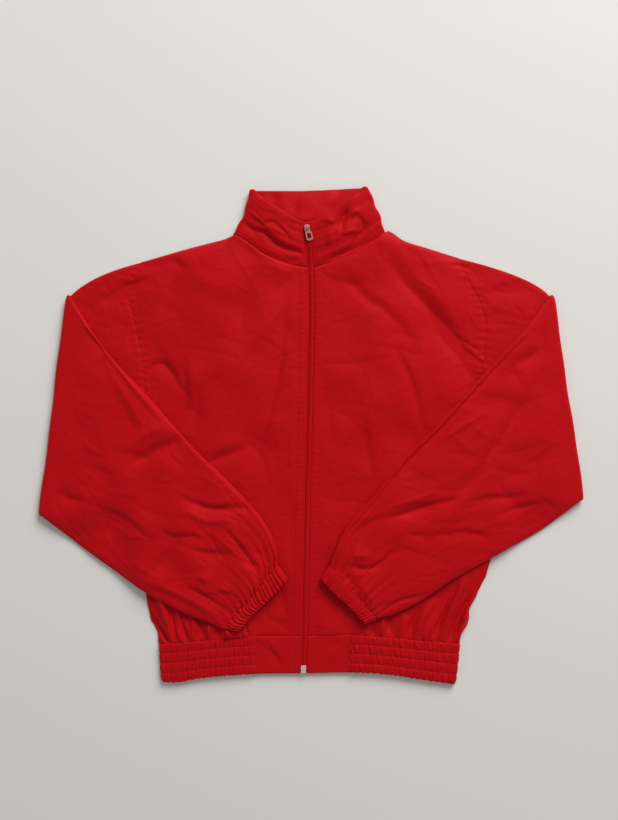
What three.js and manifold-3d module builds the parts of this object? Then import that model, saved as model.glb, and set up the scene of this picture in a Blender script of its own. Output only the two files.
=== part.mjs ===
// Windbreaker jacket lying on its back on a flat surface, zipped up, with both sleeves folded
// forward over the fronts. Millimetres, +Z up, +Y towards the collar. The wearer's right is at -X.
// The underside rests at z = 0, and the origin is under the middle of the outline.
import * as THREE from 'three';
import { mergeVertices } from 'three/addons/utils/BufferGeometryUtils.js';
import Module from 'manifold-3d';

// ---------------------------------------------------------------- driving sizes, mm
const CLOTH = 1;                 // single cloth of the body and sleeves
const COLLAR_CLOTH = 1.5;        // double cloth of the collar
const TAB_CLOTH = 2;             // folded cloth of the waistband tabs
const CASING = 3;                // gathered casing with elastic in it
const SEAM = 0.3;                // gap between two pieces at a seam
const LAYER_GAP = 0.3;           // gap between a piece and the one it is sewn onto
const FRONT_LOW = CLOTH + LAYER_GAP;   // underside of a front where it is sewn to the back
const FRONT_ZIP = 5;             // underside of a front along the zip, the neck and the hem
const FRONT_ARMHOLE = 3;         // underside of a front along the armhole
const CHEST_CROWN = 1.6;         // how much the middle of a front rises over its edges
const EDGE_REACH = 26;           // how far in from a side or shoulder seam the cloth is rounded
const ARMPIT_BLEND = 45;         // stretch of the side seam over which the armhole opens up
const SLEEVE_HALF = 2;           // half the thickness of a flattened sleeve
const SLEEVE_EDGE = 13;          // width of the rounding at a sleeve's two edges
const TURN_RADIUS = 4;           // radius at which a folded sleeve's middle turns
const TURN_HEIGHT = 6;           // height of the fold's axis
const SLEEVE_UNDER = 8;          // underside of a sleeve where it lies over the body
const SLEEVE_GROUND = 1;         // underside of a sleeve where nothing lies under it
const GROUND_REACH = 50;         // distance over which a sleeve comes down past an edge below it
const COLLAR_RISE = 8.5;         // how much higher the top edge of the front collar is than its seam
const COLLAR_BULGE = 3;          // rise of the front collar between the zip and its side fold
const BACK_NECK_DIP = 9;         // depth of the curve of the back neck
const BAND_BULGE = 1;            // rise of a channel between its two stitch rows
const BAND_GAP = 2.5;            // hollow between the front and the back of the waistband
const CUFF_HALF = 4.5;           // half the thickness of a gathered cuff
const COIL_WIDTH = 4.6;
const COIL_HEIGHT = 2.2;
const ZIP_OPENING = 9.6;         // width between the two front edges, where the zip shows
const TAPE_HIDDEN = 7;           // width of the tape under each front
const PLACKET = 9;               // flat edge of each front, over the tape
const COLLAR_TOP_Y = 309;        // height of the collar's zip edge
const NECK_Y = 243;              // where the zip passes the neck seam
const BAND_TOP_Y = -289;
const ZIP_END_Y = -342;

// ---------------------------------------------------------------- outlines, mm
// The zip's centre line.
const ZIP_LINE = [
  { y: -342, x: -11 }, { y: -237, x: -9 }, { y: -92, x: -6 }, { y: 23, x: -3 },
  { y: 110, x: -1.5 }, { y: 196, x: 0 }, { y: 276, x: -3 }, { y: 309, x: -7 },
];
// Waistband edges, from side to side. Front and back share them.
const BAND_EDGES = [
  { x: -217, top: -300, foot: -355 }, { x: -194, top: -298, foot: -355 },
  { x: -151, top: -295, foot: -348 }, { x: -82, top: -289, foot: -343 },
  { x: -11, top: -289, foot: -342 }, { x: 59, top: -287, foot: -341 },
  { x: 112, top: -291, foot: -344 }, { x: 185, top: -297, foot: -355 },
  { x: 214, top: -300, foot: -358 },
];
// Each side: `out` is the distance from x = 0. `side` is the side seam and, above the armpit, the
// armhole. `top` is the neck seam up to `neckOut` and the shoulder seam beyond it. `sleeve` has a
// row for each section of the folded part, from the fold to the cuff, with the ends of the section
// on the overarm and underarm edges and half of its thickness.
const SIDES = [
  {
    name: 'right', sign: -1, neckOut: 111, neckY: 289, armpitY: -78, shoulderY: 251, tabOut: 82,
    side: [
      { y: -300, out: 218 }, { y: -273, out: 227 }, { y: -251, out: 234 }, { y: -221, out: 240 },
      { y: -150, out: 242 }, { y: -78, out: 241 }, { y: 40, out: 238 }, { y: 124, out: 247 },
      { y: 168, out: 258 }, { y: 199, out: 264 }, { y: 225, out: 257 }, { y: 251, out: 247 },
    ],
    top: [
      { out: 4, y: 243 }, { out: 34, y: 248 }, { out: 70, y: 263 }, { out: 92, y: 279 },
      { out: 111, y: 289 }, { out: 126, y: 283 }, { out: 180, y: 269 }, { out: 247, y: 251 },
    ],
    collarTop: { out: 85, y: 355 },
    elbow: { overOut: 305, overY: 229, underOut: 312, underY: -98 },
    sleeve: [
      { overOut: 349, overY: 202, underOut: 385, underY: -112, half: 2 },
      { overOut: 296, overY: 124, underOut: 322, underY: -163, half: 2.7 },
      { overOut: 235, overY: 58, underOut: 241, underY: -220, half: 3 },
      { overOut: 172, overY: -14, underOut: 186, underY: -252, half: 3 },
      { overOut: 120, overY: -64, underOut: 150, underY: -268, half: 3.2 },
      { overOut: 71, overY: -118, underOut: 130, underY: -274, half: 3.5 },
      { overOut: 51, overY: -156, underOut: 124, underY: -271, half: 3.8 },
      { overOut: 47, overY: -186, underOut: 119, underY: -262, half: 4 },
    ],
    cuffEnd: { overOut: 33, overY: -205, underOut: 106, underY: -282 },
  },
  {
    name: 'left', sign: 1, neckOut: 105, neckY: 292, armpitY: -60, shoulderY: 257, tabOut: 59,
    side: [
      { y: -300, out: 214 }, { y: -269, out: 227 }, { y: -228, out: 241 }, { y: -191, out: 257 },
      { y: -150, out: 264 }, { y: -60, out: 261 }, { y: 40, out: 247 }, { y: 124, out: 251 },
      { y: 165, out: 253 }, { y: 190, out: 246 }, { y: 225, out: 228 }, { y: 257, out: 215 },
    ],
    top: [
      { out: 2, y: 243 }, { out: 26, y: 250 }, { out: 56, y: 261 }, { out: 91, y: 282 },
      { out: 105, y: 292 }, { out: 112, y: 290.5 }, { out: 134, y: 281 }, { out: 169, y: 270 },
      { out: 215, y: 257 },
    ],
    collarTop: { out: 78, y: 359 },
    elbow: { overOut: 296, overY: 229, underOut: 326, underY: -76 },
    sleeve: [
      { overOut: 346, overY: 201, underOut: 386, underY: -90, half: 2 },
      { overOut: 300, overY: 146, underOut: 331, underY: -131, half: 2.7 },
      { overOut: 238, overY: 78, underOut: 263, underY: -171, half: 3 },
      { overOut: 180, overY: 14, underOut: 205, underY: -207, half: 3 },
      { overOut: 134, overY: -32, underOut: 160, underY: -237, half: 3.2 },
      { overOut: 86, overY: -90, underOut: 122, underY: -256, half: 3.4 },
      { overOut: 48, overY: -136, underOut: 105, underY: -261, half: 3.6 },
      { overOut: 26, overY: -186, underOut: 94, underY: -257, half: 4 },
    ],
    cuffEnd: { overOut: 13, overY: -204, underOut: 79, underY: -271 },
  },
];

// The largest folds: a soft trough (depth below 0) or ridge (above 0) from one end to the other,
// `bow` to the left of the way it runs. They fade out at both ends.
const FRONT_FOLDS = [
  { x0: 111, y0: 257, x1: 236, y1: 81, bow: -16, depth: -2.4, width: 13 },
  { x0: 48, y0: 231, x1: 142, y1: 156, bow: 8, depth: -1.8, width: 12 },
  { x0: -36, y0: 182, x1: -91, y1: -78, bow: 10, depth: -2, width: 11 },
  { x0: -131, y0: 90, x1: -175, y1: 0, bow: 14, depth: -1.8, width: 14 },
  { x0: -238, y0: 88, x1: -179, y1: 56, bow: -18, depth: -1.6, width: 10 },
  { x0: -204, y0: 247, x1: -95, y1: 196, bow: 4, depth: 1.4, width: 20 },
  { x0: 74, y0: 23, x1: 91, y1: -69, bow: 0, depth: -1.2, width: 12 },
];
const SLEEVE_FOLDS = [
  { x0: -183, y0: -90, x1: -91, y1: -104, bow: -12, depth: -2.2, width: 11 },
  { x0: -190, y0: 0, x1: -258, y1: -35, bow: 6, depth: -2, width: 13 },
  { x0: -232, y0: -208, x1: -131, y1: -260, bow: 8, depth: 2.2, width: 14 },
  { x0: -123, y0: -136, x1: -78, y1: -193, bow: 4, depth: -2, width: 10 },
  { x0: 331, y0: 87, x1: 198, y1: -95, bow: 10, depth: -2.2, width: 12 },
  { x0: 105, y0: -110, x1: 209, y1: -76, bow: -8, depth: -2.2, width: 11 },
  { x0: 56, y0: -188, x1: 123, y1: -156, bow: -12, depth: -2, width: 11 },
  { x0: 227, y0: -97, x1: 310, y1: -82, bow: 6, depth: -1.6, width: 11 },
];

// ---------------------------------------------------------------- numbers of facets
const NECK_STEPS = 6;
const SHOULDER_STEPS = 7;
const SIDE_STEPS = 7;
const ARMHOLE_STEPS = 12;
const BACK_NECK_STEPS = 10;
const FOLD_STEPS = 5;
const UPPER_STEPS = 11;
const COLLAR_STEPS = 4;
const BAND_FRONT_STEPS = 5;
const CHANNELS = 4;

// ---------------------------------------------------------------- small helpers
const lerp = (a, b, t) => a + (b - a) * t;
const clamp = (value, low, high) => Math.min(Math.max(value, low), high);
const steps = (count) => Array.from({ length: count + 1 }, (_, i) => i / count);
const smooth = (low, high, value) => {
  const t = clamp((value - low) / (high - low), 0, 1);
  return t * t * (3 - 2 * t);
};
// Height of a quarter round of reach `reach`, at distance `distance` from its edge.
const quarterRound = (distance, reach) => {
  const t = clamp(distance / reach, 0, 1);
  return Math.sqrt(1 - (1 - t) * (1 - t));
};
// Smooth curve through a table: the `to` column at a value of the rising `from` column.
function curve(table, from, to) {
  const last = table.length - 1;
  const slope = (i) => {
    const a = table[Math.max(i - 1, 0)];
    const b = table[Math.min(i + 1, last)];
    return (b[to] - a[to]) / (b[from] - a[from]);
  };
  return (value) => {
    const at = clamp(value, table[0][from], table[last][from]);
    let i = 0;
    while (i < last - 1 && at > table[i + 1][from]) i += 1;
    const a = table[i];
    const b = table[i + 1];
    const span = b[from] - a[from];
    const t = (at - a[from]) / span;
    const rest = 1 - t;
    return a[to] * (1 + 2 * t) * rest * rest + b[to] * (1 + 2 * rest) * t * t
      + span * t * rest * (slope(i) * rest - slope(i + 1) * t);
  };
}
// Height of all the folds of a table at one place.
function folds(table, x, y) {
  let height = 0;
  for (const { x0, y0, x1, y1, bow, depth, width } of table) {
    const length = Math.hypot(x1 - x0, y1 - y0);
    const ux = (x1 - x0) / length;
    const uy = (y1 - y0) / length;
    const s = ((x - x0) * ux + (y - y0) * uy) / length;
    if (s <= 0 || s >= 1) continue;
    const middle = bow * 4 * s * (1 - s);
    const aside = (y - y0) * ux - (x - x0) * uy - middle;
    height += depth * Math.sin(Math.PI * s) * Math.exp(-((aside / width) ** 2));
  }
  return height;
}

// ---------------------------------------------------------------- closed walls from grids
// A solid between two grids of points of the same size. `ring` closes every row on itself, as
// round a tube. Otherwise the rim is closed on all four sides.
function wall(outer, inner, ring = false) {
  const rows = outer.length;
  const columns = outer[0].length;
  const points = [...outer.flat(), ...inner.flat()];
  const at = (layer, r, c) => layer * rows * columns + r * columns + (c % columns);
  const index = [];
  const quad = (a, b, c, d) => index.push(a, b, c, a, c, d);
  const wide = ring ? columns : columns - 1;
  for (let r = 0; r < rows - 1; r += 1) {
    for (let c = 0; c < wide; c += 1) {
      quad(at(0, r, c), at(0, r, c + 1), at(0, r + 1, c + 1), at(0, r + 1, c));
      quad(at(1, r, c), at(1, r + 1, c), at(1, r + 1, c + 1), at(1, r, c + 1));
    }
  }
  for (let c = 0; c < wide; c += 1) {
    quad(at(0, 0, c), at(1, 0, c), at(1, 0, c + 1), at(0, 0, c + 1));
    const r = rows - 1;
    quad(at(0, r, c), at(0, r, c + 1), at(1, r, c + 1), at(1, r, c));
  }
  for (let r = 0; r < rows - 1 && !ring; r += 1) {
    quad(at(0, r, 0), at(0, r + 1, 0), at(1, r + 1, 0), at(1, r, 0));
    const c = columns - 1;
    quad(at(0, r, c), at(1, r, c), at(1, r + 1, c), at(0, r + 1, c));
  }
  const geometry = new THREE.BufferGeometry();
  geometry.setAttribute('position', new THREE.Float32BufferAttribute(points.flat(), 3));
  geometry.setIndex(index);
  return outwards(geometry);
}
// Turns every face round if the solid is inside out.
function outwards(geometry) {
  const p = geometry.attributes.position;
  const index = geometry.index.array;
  const [a, b, c] = [new THREE.Vector3(), new THREE.Vector3(), new THREE.Vector3()];
  let volume = 0;
  for (let i = 0; i < index.length; i += 3) {
    a.fromBufferAttribute(p, index[i]);
    b.fromBufferAttribute(p, index[i + 1]);
    c.fromBufferAttribute(p, index[i + 2]);
    volume += a.dot(b.cross(c));
  }
  if (volume < 0) {
    for (let i = 0; i < index.length; i += 3) {
      [index[i + 1], index[i + 2]] = [index[i + 2], index[i + 1]];
    }
  }
  return geometry;
}

// ---------------------------------------------------------------- shared surfaces
const zipX = curve(ZIP_LINE, 'y', 'x');
const bandTop = curve(BAND_EDGES, 'x', 'top');
const bandFoot = curve(BAND_EDGES, 'x', 'foot');
for (const side of SIDES) {
  side.sideOut = curve(side.side, 'y', 'out');
  side.topY = curve(side.top, 'out', 'y');
  side.zipOut = (y) => side.sign * zipX(y) + ZIP_OPENING / 2;
  side.topOut = side.sideOut(side.shoulderY);
}
// Underside of the zip edge: level on the body, and rising with the collar above the neck.
const zipUnder = (y) => FRONT_ZIP + COLLAR_RISE * clamp((y - NECK_Y) / (COLLAR_TOP_Y - NECK_Y), 0, 1);

// Underside of a front at (x, y).
function frontUnder(side, x, y) {
  const out = side.sign * x;
  const edge = side.sideOut(y);
  const fromSide = edge - out;
  const armhole = smooth(side.armpitY - ARMPIT_BLEND, side.armpitY, y);
  const openSide = lerp(quarterRound(fromSide, EDGE_REACH), 1, armhole);
  const pastNeck = smooth(side.neckOut - 18, side.neckOut, out);
  const openTop = lerp(1, quarterRound(side.topY(out) - y, EDGE_REACH), pastNeck);
  const across = clamp((out - side.zipOut(y)) / (edge - side.zipOut(y)), 0, 1);
  const level = lerp(FRONT_ZIP, lerp(FRONT_ZIP, FRONT_ARMHOLE, armhole), smooth(0.6, 1, across));
  const crown = CHEST_CROWN * Math.sin(Math.PI * across) * smooth(-60, 80, y) * openTop;
  return FRONT_LOW + (level - FRONT_LOW) * openSide * openTop + crown;
}
// Rows of the body from hem to shoulder, as shares of each column. The armhole's rows are evenly
// spaced, so that the sleeve's section there has the same points.
function bodyRows(side) {
  const foot = side.side[0].y;
  const armpit = (side.armpitY - foot) / (side.shoulderY - foot);
  return [
    ...steps(SIDE_STEPS).slice(0, -1).map((t) => t * armpit),
    ...steps(ARMHOLE_STEPS).map((t) => lerp(armpit, 1, t)),
  ];
}
// Columns of a front at its top edge: evenly spaced along the neck, and closer together towards
// the armhole.
const neckColumns = (side) => [
  side.zipOut(NECK_Y),
  ...steps(NECK_STEPS - 1).map((t) => lerp(side.zipOut(NECK_Y) + PLACKET, side.neckOut, t)),
];
const frontColumns = (side) => [
  ...neckColumns(side).slice(0, -1),
  ...steps(SHOULDER_STEPS).map((t) => lerp(side.neckOut, side.topOut, Math.sin((t * Math.PI) / 2))),
];

// ---------------------------------------------------------------- body
function front(side) {
  const columns = frontColumns(side);
  const grid = (rise) => bodyRows(side).map((v) => columns.map((topOut) => {
    const top = side.topY(topOut);
    const across = (topOut - side.zipOut(top)) / (side.topOut - side.zipOut(top));
    const footOut = lerp(side.zipOut(BAND_TOP_Y), side.side[0].out, across);
    const foot = bandTop(side.sign * footOut) + 2 * SEAM;
    const y = lerp(foot, top, v);
    const x = side.sign * lerp(side.zipOut(y), side.sideOut(y), across);
    const flat = smooth(PLACKET, 3 * PLACKET, side.sign * x - side.zipOut(y));
    const z = frontUnder(side, x, y) + flat * folds(FRONT_FOLDS, x, y);
    return [x, y, Math.max(z, FRONT_LOW) + rise];
  }));
  return wall(grid(CLOTH), grid(0));
}
// Y of the back neck at a share of the way from the right to the left shoulder.
const backNeck = (share) => lerp(SIDES[0].neckY, SIDES[1].neckY, share)
  - BACK_NECK_DIP * Math.sin(Math.PI * share);
function back() {
  const [right, left] = SIDES;
  const sidePoints = (side) => bodyRows(side).map((v) => {
    const y = lerp(side.side[0].y + 2 * SEAM, side.shoulderY, v);
    return [side.sign * side.sideOut(y), y];
  });
  const shoulder = (side) => steps(4).slice(1, -1).map((t) => {
    const out = lerp(side.topOut, side.neckOut, t);
    return [side.sign * out, side.topY(out)];
  });
  const neck = steps(BACK_NECK_STEPS).map((t) => [
    lerp(right.sign * right.neckOut, left.neckOut, t), backNeck(t),
  ]);
  const hem = bandBackX().slice(1, -1).map((x) => [x, bandTop(x) + SEAM]);
  const outline = [
    ...hem, ...sidePoints(left), ...shoulder(left), ...neck.reverse(),
    ...shoulder(right).reverse(), ...sidePoints(right).reverse(),
  ].map(([x, y]) => new THREE.Vector2(x, y));
  const geometry = new THREE.ExtrudeGeometry(new THREE.Shape(outline), {
    depth: CLOTH, bevelEnabled: false, steps: 1,
  });
  return geometry;
}

// ---------------------------------------------------------------- sleeves and cuffs
// Shares of the way across a sleeve, from the overarm to the underarm edge, with extra points at
// the two rounded edges.
const ACROSS = [0, 0.018, ...steps(ARMHOLE_STEPS).slice(1, -1), 0.982, 1];
// One closed section of a flattened tube. `place(t)` gives the middle of the section, and `up` the
// direction from the middle to its outer side.
function section(place, width, up, outerHalf, innerHalf, thickness) {
  const ringAt = (inset) => {
    const inside = (t) => lerp(inset / width, 1 - inset / width, t);
    const round = (t) => quarterRound(Math.min(t, 1 - t) * (width - 2 * inset), SLEEVE_EDGE - inset);
    const point = (t, sign, full) => {
      const [x, y, z] = place(inside(t));
      const lift = sign * (full(t) - inset) * round(t);
      return [x + up[0] * lift, y + up[1] * lift, z + up[2] * lift];
    };
    return [
      ...ACROSS.map((t) => point(t, 1, outerHalf)),
      ...ACROSS.slice(1, -1).reverse().map((t) => point(t, -1, innerHalf)),
    ];
  };
  return { outer: ringAt(0), inner: ringAt(thickness) };
}
// The middle line of the armhole, with the same points as the armhole edge of the front and back.
function armholePoint(side, t) {
  const step = Math.min(Math.floor(t * ARMHOLE_STEPS), ARMHOLE_STEPS - 1);
  const yAt = (i) => lerp(side.shoulderY, side.armpitY, i / ARMHOLE_STEPS);
  const share = t * ARMHOLE_STEPS - step;
  const y = lerp(yAt(step), yAt(step + 1), share);
  const out = lerp(side.sideOut(yAt(step)), side.sideOut(yAt(step + 1)), share);
  return [side.sign * (out + SEAM), y];
}
const rowLine = (side, row) => (t) => [
  side.sign * lerp(row.overOut, row.underOut, t), lerp(row.overY, row.underY, t),
];
const rowWidth = (row) => Math.hypot(row.overOut - row.underOut, row.overY - row.underY);
// Underside of the folded part of a sleeve: over the body, or down near the ground past both the
// side seam and the underarm edge of the sleeve's own lower part.
function sleeveUnder(side, x, y) {
  const out = side.sign * x;
  const elbow = side.sleeve[0];
  const armpitOut = side.sideOut(side.armpitY);
  const share = clamp((out - armpitOut) / (elbow.underOut - armpitOut), 0, 1);
  const pastSleeve = lerp(side.armpitY, elbow.underY, share) - y;
  const pastBody = out - side.sideOut(y);
  const drop = smooth(0, GROUND_REACH, Math.min(pastSleeve, pastBody));
  return lerp(SLEEVE_UNDER, SLEEVE_GROUND, drop);
}
function sleeve(side) {
  const rings = [];
  const level = (half) => () => half;
  const add = (place, width, up, outerHalf, innerHalf) => {
    rings.push(section(place, width, up, outerHalf, innerHalf, CLOTH));
  };
  // The lower part, from the armhole to the fold: its outer side is down.
  const down = [0, 0, -1];
  const fold = side.sleeve[0];
  const lowerRows = [(t) => armholePoint(side, t), rowLine(side, side.elbow)];
  const lowerWidths = [side.shoulderY - side.armpitY, rowWidth(side.elbow)];
  lowerRows.forEach((line, i) => {
    const place = (t) => [...line(t), SLEEVE_HALF];
    add(place, lowerWidths[i], down, level(SLEEVE_HALF), level(SLEEVE_HALF));
  });
  // The fold: the middle turns half a circle about the fold line.
  const foldWidth = rowWidth(fold);
  const foldLine = rowLine(side, fold);
  const outwardX = (side.sign * (fold.overY - fold.underY)) / foldWidth;
  const outwardY = (fold.underOut - fold.overOut) / foldWidth;
  for (const turn of steps(FOLD_STEPS)) {
    const sine = Math.sin(Math.PI * turn);
    const cosine = Math.cos(Math.PI * turn);
    const up = [outwardX * sine, outwardY * sine, -cosine];
    const place = (t) => {
      const [x, y] = foldLine(t);
      return [x + up[0] * TURN_RADIUS, y + up[1] * TURN_RADIUS, TURN_HEIGHT + up[2] * TURN_RADIUS];
    };
    add(place, foldWidth, up, level(SLEEVE_HALF), level(SLEEVE_HALF));
  }
  // The upper part, from the fold to the cuff: its outer side is up.
  const rows = side.sleeve.map((row, i) => ({ ...row, at: i / (side.sleeve.length - 1) }));
  const column = Object.fromEntries(
    ['overOut', 'overY', 'underOut', 'underY', 'half'].map((key) => [key, curve(rows, 'at', key)]),
  );
  for (const s of steps(UPPER_STEPS).slice(1)) {
    const row = Object.fromEntries(Object.entries(column).map(([key, read]) => [key, read(s)]));
    const line = rowLine(side, row);
    const place = (t) => {
      const [x, y] = line(t);
      return [x, y, sleeveUnder(side, x, y) + row.half];
    };
    const thinnest = 2 * CLOTH + 2 * LAYER_GAP - row.half;
    const outerHalf = (t) => Math.max(row.half + folds(SLEEVE_FOLDS, ...line(t)), thinnest);
    add(place, rowWidth(row), [0, 0, 1], outerHalf, level(row.half));
  }
  return wall(rings.map((ring) => ring.outer), rings.map((ring) => ring.inner), true);
}
function cuff(side) {
  const start = side.sleeve[side.sleeve.length - 1];
  const end = side.cuffEnd;
  const length = Math.hypot(end.overOut - start.overOut, end.overY - start.overY);
  const rings = [SEAM / length, 0.35, 0.7, 1].map((share) => {
    const row = Object.fromEntries(Object.keys(end).map((key) => [key, lerp(start[key], end[key], share)]));
    const line = rowLine(side, row);
    const round = Math.sin(Math.PI * clamp(share, 0.12, 0.88));
    const gathered = (t) => CUFF_HALF - 0.5 + 0.5 * round - 0.3 * Math.cos(Math.PI * 2 * t * 6);
    const place = (t) => [...line(t), SLEEVE_UNDER + CUFF_HALF];
    return section(place, rowWidth(row), [0, 0, 1], gathered, () => CUFF_HALF, CASING);
  });
  return wall(rings.map((ring) => ring.outer), rings.map((ring) => ring.inner), true);
}

// ---------------------------------------------------------------- collar
// The collar's wall goes from the right zip edge over the right side fold, along the back neck,
// over the left side fold and to the left zip edge. Each column runs from the neck seam to the top.
function collar() {
  const half = COLLAR_CLOTH / 2;
  const heights = steps(COLLAR_STEPS).map((t) => lerp(0.008, 1, t));
  const frontMiddle = (h) => FRONT_ZIP + half + COLLAR_RISE * h;
  const column = (place, up) => heights.map((h) => {
    const [x, y, z] = place(h);
    const [ux, uy, uz] = up;
    return {
      outer: [x + ux * half, y + uy * half, z + uz * half],
      inner: [x - ux * half, y - uy * half, z - uz * half],
    };
  });
  const frontPart = (side) => neckColumns(side).map((seamOut) => {
    const a = (seamOut - side.zipOut(NECK_Y)) / (side.neckOut - side.zipOut(NECK_Y));
    const topOut = lerp(side.zipOut(COLLAR_TOP_Y), side.collarTop.out, a);
    const topY = lerp(COLLAR_TOP_Y, side.collarTop.y, a);
    return column((h) => [
      side.sign * lerp(seamOut, topOut, h),
      lerp(side.topY(seamOut), topY, h),
      frontMiddle(h) + COLLAR_BULGE * Math.sin(Math.PI * a) * Math.sin((Math.PI * h) / 2),
    ], [0, 0, 1]);
  });
  const turnPart = (side) => steps(FOLD_STEPS).slice(1, -1).map((turn) => {
    const sine = Math.sin(Math.PI * turn);
    const cosine = Math.cos(Math.PI * turn);
    return column((h) => {
      const radius = (frontMiddle(h) - half) / 2;
      return [
        side.sign * (lerp(side.neckOut, side.collarTop.out, h) + radius * sine),
        lerp(side.neckY, side.collarTop.y, h),
        half + radius * (1 + cosine),
      ];
    }, [side.sign * sine, 0, cosine]);
  });
  const [right, left] = SIDES;
  const backPart = steps(BACK_NECK_STEPS).map((share) => {
    const seamX = lerp(-right.neckOut, left.neckOut, share);
    const topX = lerp(-right.collarTop.out, left.collarTop.out, share);
    const topY = lerp(right.collarTop.y, left.collarTop.y, share) - 3 * Math.sin(Math.PI * share);
    return column((h) => [lerp(seamX, topX, h), lerp(backNeck(share), topY, h), half], [0, 0, -1]);
  });
  const columns = [
    ...frontPart(right), ...turnPart(right), ...backPart,
    ...turnPart(left).reverse(), ...frontPart(left).reverse(),
  ];
  const grid = (layer) => columns.map((points) => points.map((point) => point[layer]));
  return wall(grid('outer'), grid('inner'));
}

// ---------------------------------------------------------------- waistband
// The elastic part goes from the right tab over the right side, along the back, and over the left
// side to the left tab. Four channels bulge between its stitch rows.
const BAND_TURN = (CASING + BAND_GAP) / 2;
const bandSideOut = (side) => side.side[0].out - CASING / 2 - BAND_TURN;
const bandBackX = () => steps(BAND_FRONT_STEPS * 2).map(
  (t) => lerp(-bandSideOut(SIDES[0]), bandSideOut(SIDES[1]), t),
);
function elasticBand() {
  const half = CASING / 2;
  const radius = BAND_TURN;
  const [right, left] = SIDES;
  const heights = steps(CHANNELS * 2);
  const column = (x, middle, up) => heights.map((h, i) => {
    const y = lerp(bandTop(x), bandFoot(x), h);
    const rise = half + (i % 2 === 1 && up[2] > -0.5 ? BAND_BULGE : 0);
    const [px, pz] = middle;
    return {
      outer: [px + up[0] * rise, y, pz + up[2] * rise],
      inner: [px - up[0] * half, y, pz - up[2] * half],
    };
  });
  const frontPart = (side) => steps(BAND_FRONT_STEPS).map((t) => {
    const x = side.sign * lerp(side.tabOut + SEAM, bandSideOut(side), t);
    return column(x, [x, half + 2 * radius], [0, 0, 1]);
  });
  const turnPart = (side) => steps(FOLD_STEPS).slice(1, -1).map((turn) => {
    const sine = Math.sin(Math.PI * turn);
    const cosine = Math.cos(Math.PI * turn);
    const x = side.sign * bandSideOut(side);
    return column(x, [x + side.sign * radius * sine, half + radius * (1 + cosine)], [side.sign * sine, 0, cosine]);
  });
  const backPart = bandBackX().map((x) => column(x, [x, half], [0, 0, -1]));
  const columns = [
    ...frontPart(right), ...turnPart(right), ...backPart,
    ...turnPart(left).reverse(), ...frontPart(left).reverse(),
  ];
  const grid = (layer) => columns.map((points) => points.map((point) => point[layer]));
  return wall(grid('outer'), grid('inner'));
}
// A tab runs from the elastic part to the zip.
function bandTab(side) {
  const grid = (z) => steps(4).map((h) => steps(4).map((t) => {
    const tabX = side.sign * side.tabOut;
    const guess = lerp(bandTop(tabX), bandFoot(tabX), h);
    const x = side.sign * lerp(side.zipOut(guess), side.tabOut, t);
    return [x, lerp(bandTop(x), bandFoot(x), h), z];
  }));
  return wall(grid(FRONT_ZIP + TAB_CLOTH), grid(FRONT_ZIP));
}

// ---------------------------------------------------------------- zip
const ZIP_BODY_STEPS = 20;
const ZIP_COLLAR_STEPS = 4;
const zipRows = (fromY, toY) => [
  ...steps(ZIP_BODY_STEPS).slice(0, -1).map((t) => lerp(fromY, NECK_Y, t)),
  ...steps(ZIP_COLLAR_STEPS).map((t) => lerp(NECK_Y, toY, t)),
];
// A strip along the zip, between two distances from its centre line and two heights measured from
// the underside of the front edges.
function zipStrip(fromX, toX, low, high, fromY, toY) {
  const grid = (rise) => zipRows(fromY, toY).map((y) => [fromX, toX].map(
    (x) => [zipX(y) + x, y, zipUnder(y) + rise],
  ));
  return wall(grid(high), grid(low));
}
const TAPE_HIGH = -LAYER_GAP;
const zipTape = (side) => zipStrip(
  side.sign * (COIL_WIDTH / 2 + SEAM), side.sign * (ZIP_OPENING / 2 + TAPE_HIDDEN),
  TAPE_HIGH - CLOTH, TAPE_HIGH, ZIP_END_Y + 1, COLLAR_TOP_Y - 1,
);
const COIL_LOW = TAPE_HIGH - CLOTH;
const SLIDER = {
  y: 300, width: 8.5, aft: 6.2, fore: 3.8, height: 3.6, bridgeWidth: 2.4, bridgeWall: 1.2, bridgeHollow: 2.5,
  legFore: 1.2, legAft: 2.4, pivotRise: 1.3,
};
const BOX = { y: -337, width: 7.4, length: 11, height: 3.4 };
const coil = () => zipStrip(
  -COIL_WIDTH / 2, COIL_WIDTH / 2, COIL_LOW, COIL_LOW + COIL_HEIGHT,
  BOX.y + BOX.length / 2 + SEAM, SLIDER.y - SLIDER.aft - 2 * SEAM,
);

const wasm = await Module();
wasm.setup();
// A three.js geometry as a solid that can be joined, and back again.
function solid(geometry) {
  const bare = geometry.clone();
  bare.deleteAttribute('normal');
  bare.deleteAttribute('uv');
  const merged = mergeVertices(bare, 1e-4);
  return new wasm.Manifold(new wasm.Mesh({
    numProp: 3,
    vertProperties: new Float32Array(merged.attributes.position.array),
    triVerts: new Uint32Array(merged.index.array),
  }));
}
function geometryOf(manifold) {
  const mesh = manifold.getMesh();
  const geometry = new THREE.BufferGeometry();
  geometry.setAttribute('position', new THREE.Float32BufferAttribute(mesh.vertProperties, 3));
  geometry.setIndex(Array.from(mesh.triVerts));
  return geometry;
}
// A rounded rectangle from (x0, y0) to (x1, y1), drawn into a shape or a hole.
function roundedRectangle(path, x0, y0, x1, y1, radius) {
  path.moveTo(x0 + radius, y0);
  path.lineTo(x1 - radius, y0);
  path.quadraticCurveTo(x1, y0, x1, y0 + radius);
  path.lineTo(x1, y1 - radius);
  path.quadraticCurveTo(x1, y1, x1 - radius, y1);
  path.lineTo(x0 + radius, y1);
  path.quadraticCurveTo(x0, y1, x0, y1 - radius);
  path.lineTo(x0, y0 + radius);
  path.quadraticCurveTo(x0, y0, x0 + radius, y0);
  return path;
}
const plate = (shape, depth) => new THREE.ExtrudeGeometry(shape, {
  depth, bevelEnabled: false, curveSegments: 4,
});
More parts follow.
